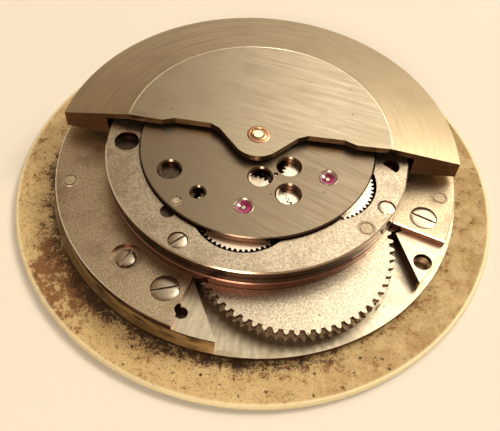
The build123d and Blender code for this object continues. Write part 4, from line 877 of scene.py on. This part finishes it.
# On the upper bridge the bevels' tone is darker than the flats: painted shade along its edges and openings.
UPPER = Brushed("upper_bridge", turn=-28.0, colour=(0.235, 0.188, 0.130), stains=0.45,
                roughness=0.28, streaks=0.35, edge=(0.13, 0.095, 0.065), wall=(0.13, 0.065, 0.045))
ROTOR_PLATE = Brushed("rotor_plate", turn=-16.0, colour=(0.375, 0.312, 0.222), stains=0.22,
                      roughness=0.25, streaks=0.35, edge=(0.60, 0.50, 0.36), wall=(0.16, 0.10, 0.06))
ROTOR_RIM = Brushed("rotor_rim", brush=Brush.ROUND, colour=(0.52, 0.415, 0.275), streaks=0.75,
                    stains=0.18, lines=6.0, wall=(0.15, 0.085, 0.05))
RATCHET = Frosted("ratchet", colour=(0.60, 0.52, 0.40), stains=0.15, grain=9.0, depth=0.003,
                  edge=(0.66, 0.56, 0.42), wall=(0.22, 0.12, 0.08))
DRUM = Frosted("barrel_teeth", colour=(0.52, 0.39, 0.26), metal=0.4, roughness=0.34, stains=0.2,
               depth=0.005, edge=(0.56, 0.42, 0.28), wall=(0.12, 0.065, 0.045))
PLATE = PlateMetal("main_plate_metal", wall=(0.10, 0.055, 0.03))
GILT_DIAL = TarnishedGilt("dial_back")
SCREW = Polished("screw_steel", colour=(0.58, 0.50, 0.39), wall=(0.11, 0.06, 0.04),
                 edge=(0.66, 0.56, 0.42))
PIN = Frosted("pin_metal", colour=(0.46, 0.38, 0.27), roughness=0.5, edge=(0.50, 0.42, 0.30),
              wall=(0.10, 0.06, 0.04), stains=0.2, depth=0.002)
STEEL = Polished("steel", colour=(0.48, 0.42, 0.34), roughness=0.22, wall=DARK)
BRIGHT = Polished("bright_steel", colour=(0.84, 0.76, 0.62), roughness=0.24, wall=DARK, stains=0.2)
GILT = Polished("gilt", colour=(0.66, 0.48, 0.22), roughness=0.25, wall=(0.16, 0.09, 0.03),
                edge=(0.70, 0.54, 0.28))
COPPER = Polished("copper", colour=(0.50, 0.28, 0.15), roughness=0.24, wall=(0.22, 0.10, 0.05),
                  edge=(0.62, 0.38, 0.22), stains=0.3)
SPRING = Polished("tempered_steel", colour=(0.30, 0.32, 0.38), roughness=0.2,
                  wall=(0.22, 0.24, 0.30))
# The thread's near-black colour is painted shade inside the hole, and its light bevel tone paints highlights
# on the ridges.
THREAD = Polished("thread_shade_and_glints", colour=(0.14, 0.09, 0.06), roughness=0.3, wall=(0.04, 0.025, 0.02),
                  edge=(0.58, 0.44, 0.31))
INK = Polished("index_steel", colour=(0.62, 0.60, 0.56), roughness=0.15, wall=(0.40, 0.38, 0.35))
RUBY = RubyStone("ruby_stone")
FLOOR = Cloth("pale_floor")

NODE_FINISHES: dict[Finish, Sequence[str]] = {
    RING: ("auto_ring_plate",),
    SHADED_BASE: ("auto_base_plate",),
    BRIDGE: ("train_bridge", "barrel_bridge", "balance_cock", "pallet_bridge"),
    UPPER: ("auto_bridge",),
    ROTOR_PLATE: ("rotor_plate",),
    ROTOR_RIM: ("rotor_weight",),
    RATCHET: ("ratchet_wheel",),
    DRUM: ("barrel_drum",),
    PLATE: ("main_plate",),
    GILT_DIAL: ("dial",),
    SCREW: ("small_screws", "ratchet_screw"),
    BRIGHT: ("reverser_wheel_1", "reverser_wheel_2", "rotor_wheel", "reduction_wheel", "driving_wheel"),
    GILT: ("barrel_cover", "second_wheel", "third_wheel", "fourth_wheel",
           "escape_wheel", "minute_wheel", "hour_wheel", "balance_wheel"),
    SPRING: ("mainspring",),
    RUBY: ("train_jewels", "pallet_stones"),
}


def dress_nodes() -> None:
    """Give each carried-over node its finish, and steel to the rest."""
    chosen = {node: finish for finish, nodes in NODE_FINISHES.items() for node in nodes}
    for node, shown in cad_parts.items():
        finish = chosen.get(node, STEEL)
        for slot in shown.material_slots:
            slot.material = finish.material()
        log.info("%s: %s", node, finish.name)


@dataclass(frozen=True)
class Solid:
    """The box of one separate solid of a node, in millimetres."""

    low: Vector
    high: Vector

    @property
    def place(self) -> Place:
        """Where its axis stands."""
        return ((self.low.x + self.high.x) / 2, (self.low.y + self.high.y) / 2)

    @property
    def radius(self) -> float:
        """Half its width."""
        return (self.high.x - self.low.x) / 2


def solids_of(node: str) -> list[Solid]:
    """Find the separate solids of a node.

    Args:
        node: the node's name.

    Returns:
        The solids from left to right.
    """
    mesh = bmesh.new()
    mesh.from_mesh(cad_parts[node].data)
    bmesh.ops.remove_doubles(mesh, verts=mesh.verts, dist=WELD * MM)
    waiting = set(mesh.verts)
    found = []
    while waiting:
        group, edge = [], [waiting.pop()]
        while edge:
            corner = edge.pop()
            group.append(corner.co / MM)
            near = {link.other_vert(corner) for link in corner.link_edges} & waiting
            waiting -= near
            edge.extend(near)
        low = Vector(min(point[axis] for point in group) for axis in range(3))
        high = Vector(max(point[axis] for point in group) for axis in range(3))
        found.append(Solid(low, high))
    mesh.free()
    return sorted(found, key=lambda solid: (round(solid.place[0], 2), round(solid.place[1], 2)))


def on_circle(middle: Place, radius: float, turn: float, level: float) -> Corner:
    """A corner at a radius and a turn in radians about an upright axis."""
    return middle[0] + radius * math.cos(turn), middle[1] + radius * math.sin(turn), level


class Shape:
    """Corners and faces in millimetres, which become one piece."""

    def __init__(self) -> None:
        """Start empty."""
        self.corners: list[Corner] = []
        self.faces: list[tuple[int, ...]] = []

    def loop(self, points: Iterable[Corner]) -> list[int]:
        """Add corners.

        Args:
            points: where they are.

        Returns:
            Their numbers.
        """
        start = len(self.corners)
        self.corners.extend(points)
        return list(range(start, len(self.corners)))

    def band(self, first: Sequence[int], second: Sequence[int], closed: bool = True) -> None:
        """Add faces between two loops of as many corners.

        Args:
            first: one loop.
            second: the other loop.
            closed: whether the last corner joins the first.
        """
        count = len(first)
        for here in range(count if closed else count - 1):
            there = (here + 1) % count
            self.faces.append((first[here], first[there], second[there], second[here]))

    def skin(self, loops: Sequence[Sequence[int]], hollow: bool = False) -> None:
        """Cover a row of loops.

        Args:
            loops: loops of as many corners, in order.
            hollow: whether the last loop joins the first, instead of a face on each.
        """
        for first, second in zip(loops, loops[1:]):
            self.band(first, second)
        if hollow:
            self.band(loops[-1], loops[0])
        else:
            self.faces.append(tuple(reversed(loops[0])))
            self.faces.append(tuple(loops[-1]))

    def lathe(self, middle: Place, profile: Sequence[tuple[float, float]], steps: int = 64,
              hollow: bool = False) -> None:
        """Turn a profile about an upright axis.

        Args:
            middle: where the axis stands.
            profile: radius and height of each corner, from the bottom outwards and up.
            steps: corners round the axis.
            hollow: whether the last corner joins the first, as in a ring.
        """
        self.skin([
            self.loop(on_circle(middle, radius, step * math.tau / steps, height) for step in range(steps))
            for radius, height in profile
        ], hollow)

    def prism(self, outline: Sequence[Place], bottom: float, top: float, inset: float) -> None:
        """Raise an upright block with its far edge drawn in.

        Args:
            outline: corners of its plan.
            bottom: height of the plan.
            top: height of the far face, which may lie below the plan.
            inset: share of the plan's size that the far face loses.
        """
        middle = (sum(x for x, _y in outline) / len(outline), sum(y for _x, y in outline) / len(outline))
        shoulder = bottom + (top - bottom) * (1 - inset)
        inner = [(x + (middle[0] - x) * inset, y + (middle[1] - y) * inset) for x, y in outline]
        self.skin([
            self.loop((x, y, level) for x, y in plan)
            for plan, level in ((outline, bottom), (outline, shoulder), (inner, top))
        ])

    def piece(self, name: str, finish: Finish, body: str, slot: str, stands_for: Sequence[str] = (),
              crease: float = 32.0) -> bpy.types.Object:
        """Make the object.

        Args:
            name: the piece's name.
            finish: its surface.
            body: the body that it rides on.
            slot: the record's material slot; it is not used.
            stands_for: the nodes that it replaces.
            crease: edges sharper than this angle in degrees stay sharp.

        Returns:
            The new object.
        """
        mesh = bpy.data.meshes.new(name)
        mesh.from_pydata([tuple(MM * part for part in corner) for corner in self.corners], [], self.faces)
        skin = bmesh.new()
        skin.from_mesh(mesh)
        bmesh.ops.recalc_face_normals(skin, faces=skin.faces)
        skin.to_mesh(mesh)
        skin.free()
        mesh.polygons.foreach_set("use_smooth", [True] * len(mesh.polygons))
        mesh.set_sharp_from_angle(angle=math.radians(crease))
        mesh.materials.append(finish.material())
        made = bpy.data.objects.new(name, mesh)
        bpy.context.scene.collection.objects.link(made)
        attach(made, body)
        if stands_for:
            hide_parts(*stands_for)
        return made


@dataclass(frozen=True)
class SubAssembly:
    """Pieces that are built and dressed together."""

    def build(self) -> list[bpy.types.Object]:
        """Make the pieces."""
        raise NotImplementedError


@dataclass(frozen=True)
class SlottedScrews(SubAssembly):
    """Screws with a rounded, slightly domed head and a slot, in place of a node's plain ones.

    Each head has its slot's direction in degrees and its height, from the left screw to the right.
    """

    node: str
    heads: tuple[tuple[float, float], ...]
    shank_share: float = 0.62
    shank_steps: int = 32
    slot_width: float = 0.17
    slot_depth: float = 0.10
    bevel: float = 0.05
    rounding: tuple[tuple[float, float], ...] = ((0.0, 1.0), (0.4, 0.3), (1.0, 0.0))
    dome: float = 0.03
    doming: tuple[tuple[float, float], ...] = ((0.7, 0.5), (0.4, 0.0))
    steps: int = 24

    def rings(self, solid: Solid, height: float) -> list[tuple[float, float]]:
        """List a head's rings, from its underside to its crown.

        Args:
            solid: the plain screw that it stands for.
            height: how tall the head is.

        Returns:
            Radius and level of each ring; the second lies at the slot's floor.
        """
        top, radius = solid.high.z, solid.radius
        rings = [(radius, top - height), (radius, top - self.slot_depth)]
        for inset, drop in self.rounding:
            rings.append((radius - self.bevel * inset, top - self.dome - self.bevel * drop))
        for share, drop in self.doming:
            rings.append((radius * share, top - self.dome * drop))
        return rings

    def half(self, shape: Shape, solid: Solid, turn: float, height: float, side: int) -> list[list[int]]:
        """Make half a head on one side of the slot.

        Args:
            shape: what it is added to.
            solid: the plain screw that it stands for.
            turn: the slot's direction in degrees.
            height: how tall the head is.
            side: 1 on the slot's left, -1 on its right.

        Returns:
            The half's loops, from its underside to its crown.
        """
        angle = math.radians(turn)
        along = Vector((math.cos(angle), math.sin(angle)))
        aside = Vector((-math.sin(angle), math.cos(angle))) * side
        loops = []
        for reach, level in self.rings(solid, height):
            start = math.asin(self.slot_width / 2 / reach)
            span = math.pi - 2 * start
            points = []
            for step in range(self.steps + 1):
                angle = start + span * step / self.steps
                flat = along * (reach * math.cos(angle)) + aside * (reach * math.sin(angle))
                points.append((solid.place[0] + flat.x, solid.place[1] + flat.y, level))
            loops.append(shape.loop(points))
        for first, second in zip(loops, loops[1:]):
            shape.band(first, second, closed=False)
        shape.faces.append(tuple(loops[-1]))
        near, far = [loop[0] for loop in loops[1:]], [loop[-1] for loop in loops[:0:-1]]
        shape.faces.append((*near, *far))
        return loops

    def head(self, shape: Shape, solid: Solid, turn: float, height: float) -> None:
        """Make both halves of a head and join them under the slot.

        Args:
            shape: what the head is added to.
            solid: the plain screw that it stands for.
            turn: the slot's direction in degrees.
            height: how tall the head is.
        """
        left, right = (self.half(shape, solid, turn, height, side) for side in (1, -1))
        shape.faces.append((left[1][0], left[1][-1], right[1][-1], right[1][0]))
        shape.faces.append((left[0][0], left[1][0], right[1][0], right[0][0]))
        shape.faces.append((left[0][-1], left[1][-1], right[1][-1], right[0][-1]))
        shape.faces.append((*left[0], *reversed(right[0])))

    def build(self) -> list[bpy.types.Object]:
        """Make all of the node's screws.

        Returns:
            The screws as one piece.
        """
        shape = Shape()
        for solid, (turn, height) in zip(solids_of(self.node), self.heads):
            self.head(shape, solid, turn, height)
            shank, bottom = solid.radius * self.shank_share, solid.low.z
            shape.lathe(solid.place, ((shank - self.bevel, bottom), (shank, bottom + self.bevel),
                                      (shank, solid.high.z - height)), self.shank_steps)
        return [shape.piece(f"slotted_{self.node}", SCREW, "movement", "polished_screws", (self.node,))]


@dataclass(frozen=True)
class SteadyPins(SubAssembly):
    """Pins whose tops have a fine groove inside a rounded edge."""

    node: str = "steady_pins"
    edge: float = 0.03
    groove_share: float = 0.82
    groove_width: float = 0.055
    groove_depth: float = 0.06
    slope: float = 0.004
    core_share: float = 0.3

    def build(self) -> list[bpy.types.Object]:
        """Make the pins.

        Returns:
            The pins as one piece.
        """
        shape = Shape()
        for solid in solids_of(self.node):
            radius, top = solid.radius, solid.high.z
            outer = radius * self.groove_share
            inner, floor = outer - self.groove_width, top - self.groove_depth
            shape.lathe(solid.place, (
                (radius, solid.low.z), (radius, top - self.edge), (radius - self.edge, top), (outer, top),
                (outer - self.slope, floor), (inner, floor), (inner - self.slope, top - self.slope),
                (radius * self.core_share, top - self.slope),
            ))
        return [shape.piece("grooved_pins", PIN, "movement", "polished_screws", (self.node,))]


@dataclass(frozen=True)
class Rubies(SubAssembly):
    """Bearing stones with an oil cup, and the polished seat round each."""

    node: str = "auto_jewels"
    hole: float = 0.16
    edge: float = 0.03
    cup_share: float = 0.78
    cup_depth: float = 0.11
    cup_steps: tuple[float, ...] = (0.85, 0.65, 0.45)
    cup_floor: float = 0.95
    seat_gap: float = 0.002
    seat_sink: float = 0.02
    seat_rise: float = 0.045
    seat_width: float = 0.075
    seat_slope: float = 0.02
    seat_lip: float = 0.012

    def build(self) -> list[bpy.types.Object]:
        """Make the stones and their seats.

        Returns:
            The stones as one piece and the seats as another.
        """
        stones, seats = Shape(), Shape()
        for solid in solids_of(self.node):
            radius, top, bottom = solid.radius, solid.high.z, solid.low.z
            cup = radius * self.cup_share
            stones.lathe(solid.place, (
                (self.hole, bottom), (radius, bottom), (radius, top - self.edge), (radius - self.edge, top),
                (cup, top), *((cup * share, top - self.cup_depth * (1 - share * share))
                              for share in self.cup_steps),
                (self.hole, top - self.cup_depth * self.cup_floor),
            ), hollow=True)
            inner, outer = radius + self.seat_gap, radius + self.seat_width
            crown = top + self.seat_rise
            seats.lathe(solid.place, (
                (inner, top - self.seat_sink), (outer, crown),
                (outer - self.seat_slope, crown + self.seat_lip), (inner, top + self.seat_lip),
            ), hollow=True)
        return [stones.piece("cupped_rubies", RUBY, "movement", "ruby", (self.node,)),
                seats.piece("ruby_seats", BRIGHT, "movement", "polished_steel")]


@dataclass(frozen=True)
class RotorTrim(SubAssembly):
    """The rotor's riveted bush and the bright seam between its plate and its rim.

    The bush's steps are insets from its outer radius with their heights over its top.
    """

    bush_bore: float = 0.315
    bush_steps: tuple[tuple[float, float], ...] = (
        (0.0, -0.03), (0.05, -0.005), (0.12, 0.0), (0.17, 0.0), (0.20, -0.035), (0.235, -0.01),
    )
    lip_width: float = 0.05
    lip_rise: float = 0.003
    lip_fall: float = 0.02
    seam_radius: float = 8.0
    seam_half: float = 0.045
    seam_rise: float = 0.014
    seam_feet: tuple[float, float] = (0.01, 0.03)
    seam_start: float = -2.9
    seam_end: float = 172.5
    seam_steps: int = 160

    def bush(self) -> bpy.types.Object:
        """Turn a bush with a groove and a rolled inner lip.

        Returns:
            The bush.
        """
        solid = solids_of("rotor_bushing")[0]
        radius, top, bottom, bore = solid.radius, solid.high.z, solid.low.z, self.bush_bore
        outside = [(radius - inset, top + rise) for inset, rise in self.bush_steps]
        shape = Shape()
        shape.lathe((0.0, 0.0), (
            (bore, bottom), (radius, bottom), *outside,
            (bore + self.lip_width, top + self.lip_rise), (bore, top - self.lip_fall),
        ), hollow=True)
        return shape.piece("riveted_bush", COPPER, "rotor", "copper_bush", ("rotor_bushing",))

    def seam(self) -> bpy.types.Object:
        """Draw a thin raised line along the plate's edge.

        Returns:
            The seam.
        """
        top = solids_of("rotor_plate")[0].high.z
        inner_foot, outer_foot = self.seam_feet
        section = ((-self.seam_half, top - inner_foot), (-self.seam_half / 2, top + self.seam_rise),
                   (self.seam_half / 2, top + self.seam_rise), (self.seam_half, top - outer_foot))
        shape = Shape()
        turn = (self.seam_end - self.seam_start) / self.seam_steps
        shape.skin([
            shape.loop(on_circle((0.0, 0.0), self.seam_radius + aside,
                                 math.radians(self.seam_start + turn * step), level)
                       for aside, level in section)
            for step in range(self.seam_steps + 1)
        ])
        return shape.piece("rotor_seam", BRIGHT, "rotor", "rotor_thin")

    def build(self) -> list[bpy.types.Object]:
        """Make the bush and the seam."""
        return [self.bush(), self.seam()]


@dataclass(frozen=True)
class ThreadedHole(SubAssembly):
    """The thread inside a screw hole."""

    name: str
    middle: Place
    radius: float
    bottom: float
    top: float
    pitch: float = 0.27
    depth: float = 0.10
    clearance: float = 0.004
    root: float = 0.01
    steps: int = 48

    def build(self) -> list[bpy.types.Object]:
        """Make the ridges, one below the other.

        Returns:
            The thread as one piece.
        """
        shape = Shape()
        skin = self.radius - self.clearance
        profile = [(skin, self.bottom)]
        for turn in range(int((self.top - self.bottom) / self.pitch)):
            level = self.bottom + (turn + 0.5) * self.pitch
            profile.append((skin - self.depth, level))
            profile.append((skin - self.root, level + self.pitch / 2))
        profile.append((skin, self.top))
        shape.lathe(self.middle, profile, self.steps, hollow=True)
        return [shape.piece(self.name, THREAD, "movement", "polished_steel")]


@dataclass(frozen=True)
class Hairspring(SubAssembly):
    """The balance spring with its many close coils."""

    inner: float = 0.42
    turns: int = 11
    strip: float = 0.035
    steps_per_turn: int = 48

    def build(self) -> list[bpy.types.Object]:
        """Wind the strip from the collet out to the stud.

        Returns:
            The spring.
        """
        middle = solids_of("balance_staff")[0].place
        plain = solids_of("hairspring")[0]
        stud = solids_of("hairspring_stud")[0]
        half, low, high = self.strip / 2, plain.low.z, plain.high.z
        outer = stud.place[0] - stud.radius - middle[0] - half
        section = ((-half, low), (half, low), (half, high), (-half, high))
        shape = Shape()
        count = self.turns * self.steps_per_turn
        shape.skin([
            shape.loop(on_circle(middle, self.inner + (outer - self.inner) * step / count + aside,
                                 step / self.steps_per_turn * math.tau, level)
                       for aside, level in section)
            for step in range(count + 1)
        ])
        return [shape.piece("coiled_hairspring", SPRING, "movement", "spring_steel", ("hairspring",))]


@dataclass(frozen=True)
class DialFront(SubAssembly):
    """Raised indices and a minute track on the dial's plain face."""

    hours: int = 12
    twelve_at: float = -90.0
    index_start: float = 10.6
    index_end: float = 13.2
    index_width: float = 0.46
    index_height: float = 0.08
    twin_gap: float = 0.14
    minutes: int = 60
    track_radius: float = 14.2
    track_length: float = 0.55
    short_share: float = 1 / 1.5
    track_width: float = 0.09
    track_height: float = 0.012
    bevel: float = 0.18

    def bar(self, shape: Shape, turn: float, start: float, end: float, width: float, height: float,
            aside: float = 0.0) -> None:
        """Add one bar that points out from the dial's middle.

        Args:
            shape: what the bar is added to.
            turn: its direction in degrees.
            start: where it starts from the middle.
            end: where it ends.
            width: its width.
            height: how far it stands below the face.
            aside: how far it is moved sideways.
        """
        angle = math.radians(turn)
        out = Vector((math.cos(angle), math.sin(angle)))
        side = Vector((-math.sin(angle), math.cos(angle)))
        corners = [out * reach + side * (aside + half * width / 2)
                   for reach, half in ((start, -1), (end, -1), (end, 1), (start, 1))]
        shape.prism([(corner.x, corner.y) for corner in corners], 0.0, -height, self.bevel)

    def build(self) -> list[bpy.types.Object]:
        """Make the indices, a twin one at twelve, and the track.

        Returns:
            The indices as one piece and the track as another.
        """
        indices, track = Shape(), Shape()
        twin = (self.index_width + self.twin_gap) / 2
        for hour in range(self.hours):
            for aside in (0.0,) if hour else (-twin, twin):
                self.bar(indices, hour * FULL_TURN / self.hours + self.twelve_at, self.index_start,
                         self.index_end, self.index_width, self.index_height, aside)
        for minute in range(self.minutes):
            between = minute % (self.minutes // self.hours)
            length = self.track_length * (self.short_share if between else 1.0)
            self.bar(track, minute * FULL_TURN / self.minutes, self.track_radius,
                     self.track_radius + length, self.track_width, self.track_height)
        return [indices.piece("hour_indices", INK, "movement", "dial_metal"),
                track.piece("minute_track", SPRING, "movement", "dial_metal")]


@dataclass(frozen=True)
class PhotoCamera:
    """Where the photograph was taken from, fitted to the movement's circles."""

    focal_px: float = 676.0
    image_width: int = 500
    sensor_mm: float = 36.0
    distance: float = 44.4
    elevation: float = 53.4
    roll: float = 3.75
    aside: float = -0.33
    upwards: float = -1.98
    nearest: float = 1.0
    farthest: float = 1000.0

    def build(self) -> None:
        """Make the camera and hand it to the scene."""
        rise, turn = math.radians(self.elevation), math.radians(self.roll)
        back = Vector((0, -math.cos(rise), math.sin(rise)))
        level, steep = Vector((1, 0, 0)), Vector((0, math.sin(rise), math.cos(rise)))
        right = level * math.cos(turn) + steep * math.sin(turn)
        up = steep * math.cos(turn) - level * math.sin(turn)
        data = bpy.data.cameras.new("camera")
        data.sensor_width = self.sensor_mm
        data.lens = self.focal_px / self.image_width * self.sensor_mm
        data.clip_start, data.clip_end = self.nearest * MM, self.farthest * MM
        camera = bpy.data.objects.new("camera", data)
        spot = (back * self.distance + right * self.aside + up * self.upwards) * MM
        camera.matrix_world = Matrix.Translation(spot) @ Matrix((right, up, back)).transposed().to_4x4()
        bpy.context.scene.collection.objects.link(camera)
        bpy.context.scene.camera = camera


@dataclass(frozen=True)
class Softbox:
    """A square lamp that looks at the movement."""

    name: str
    azimuth: float
    elevation: float
    distance: float
    size: float
    power: float
    colour: Colour

    def build(self) -> None:
        """Hang the lamp."""
        turn, rise = math.radians(self.azimuth), math.radians(self.elevation)
        way = Vector((math.sin(turn) * math.cos(rise), math.cos(turn) * math.cos(rise), math.sin(rise)))
        data = bpy.data.lights.new(self.name, "AREA")
        data.size = self.size * MM
        data.energy = self.power
        data.color = self.colour
        lamp = bpy.data.objects.new(self.name, data)
        lamp.location = way * self.distance * MM
        lamp.rotation_mode = "QUATERNION"
        lamp.rotation_quaternion = way.to_track_quat("Z", "Y")
        bpy.context.scene.collection.objects.link(lamp)


@dataclass(frozen=True)
class Room:
    """The room round the movement: pale low down, dim above, with a bright wall behind on the right."""

    heights: tuple[tuple[float, Colour], ...] = (
        (0.0, (0.78, 0.72, 0.62)), (0.22, (0.70, 0.61, 0.48)), (0.42, (0.36, 0.25, 0.155)),
        (1.0, (0.29, 0.20, 0.125)),
    )
    bright: Colour = (2.75, 2.55, 2.15)
    soft_share: float = 0.46
    soft_x: Span = (-0.28, 0.18)
    steep_x: Span = (-0.06, 0.12)
    fall_x: Span = (0.60, 0.30)
    fall_least: float = 0.3
    behind_y: Span = (-0.15, 0.20)
    foot_z: Span = (0.41, 0.53)
    head_z: Span = (0.99, 0.90)

    def build(self) -> None:
        """Paint the world."""
        world = bpy.data.worlds.new("world")
        bpy.context.scene.world = world
        graph = Graph(world, "ShaderNodeBackground", "ShaderNodeOutputWorld")
        x, y, z = graph.parts(graph.node("ShaderNodeTexCoord", output="Generated"))
        walls = graph.node("ShaderNodeValToRGB", {"stops": self.heights}, {0: z})
        wall = weigh((x.ramp(*self.soft_x), x.ramp(*self.steep_x)), (self.soft_share, 1 - self.soft_share))
        wall = wall * (x.ramp(*self.fall_x) * (1 - self.fall_least) + self.fall_least)
        patch = wall * y.ramp(*self.behind_y) * z.ramp(*self.foot_z) * z.ramp(*self.head_z)
        graph.set(Color=graph.mix(patch, walls, self.bright))


@dataclass(frozen=True)
class Studio:
    """Floor, room and lamps."""

    floor_size: float = 1500.0
    floor_height: float = -0.1
    softboxes: tuple[Softbox, ...] = (
        Softbox("key_lamp", azimuth=62.0, elevation=46.0, distance=330.0, size=110.0, power=0.72,
                colour=(1.0, 0.88, 0.70)),
        Softbox("front_lamp", azimuth=190.0, elevation=40.0, distance=400.0, size=120.0, power=0.70,
                colour=(1.0, 0.86, 0.68)),
    )

    def build(self) -> None:
        """Set up the stage."""
        half = self.floor_size / 2 * MM
        mesh = bpy.data.meshes.new("floor")
        corners = [(-half, -half, 0), (half, -half, 0), (half, half, 0), (-half, half, 0)]
        mesh.from_pydata(corners, [], [(0, 1, 2, 3)])
        floor = bpy.data.objects.new("floor", mesh)
        floor.location.z = self.floor_height * MM
        mesh.materials.append(FLOOR.material())
        bpy.context.scene.collection.objects.link(floor)
        Room().build()
        for softbox in self.softboxes:
            softbox.build()
        bpy.context.scene.view_settings.view_transform = "Standard"


SUB_ASSEMBLIES: tuple[SubAssembly, ...] = (
    SlottedScrews("bridge_screws", ((70, 0.22), (61, 0.18), (16, 0.22), (-40, 0.22), (-25, 0.22)),
                  slot_width=0.15),
    SlottedScrews("auto_screws", ((0, 0.20), (15, 0.15), (43, 0.20), (15, 0.15), (78, 0.20), (80, 0.20)),
                  shank_share=0.55),
    SteadyPins(),
    Rubies(),
    RotorTrim(),
    ThreadedHole("casing_thread", (9.94, -6.39), radius=0.55, bottom=1.02, top=1.80),
    ThreadedHole("module_thread", (-7.95, -0.40), radius=0.75, bottom=3.37, top=3.86, depth=0.06),
    Hairspring(),
    DialFront(),
)


def main() -> None:
    """Build everything in order and report each piece."""
    logging.basicConfig(level=logging.INFO)
    PhotoCamera().build()
    Studio().build()
    dress_nodes()
    for group in SUB_ASSEMBLIES:
        for piece in group.build():
            log.info("%s: %d faces", piece.name, len(piece.data.polygons))


if __name__ == "__main__":
    main()
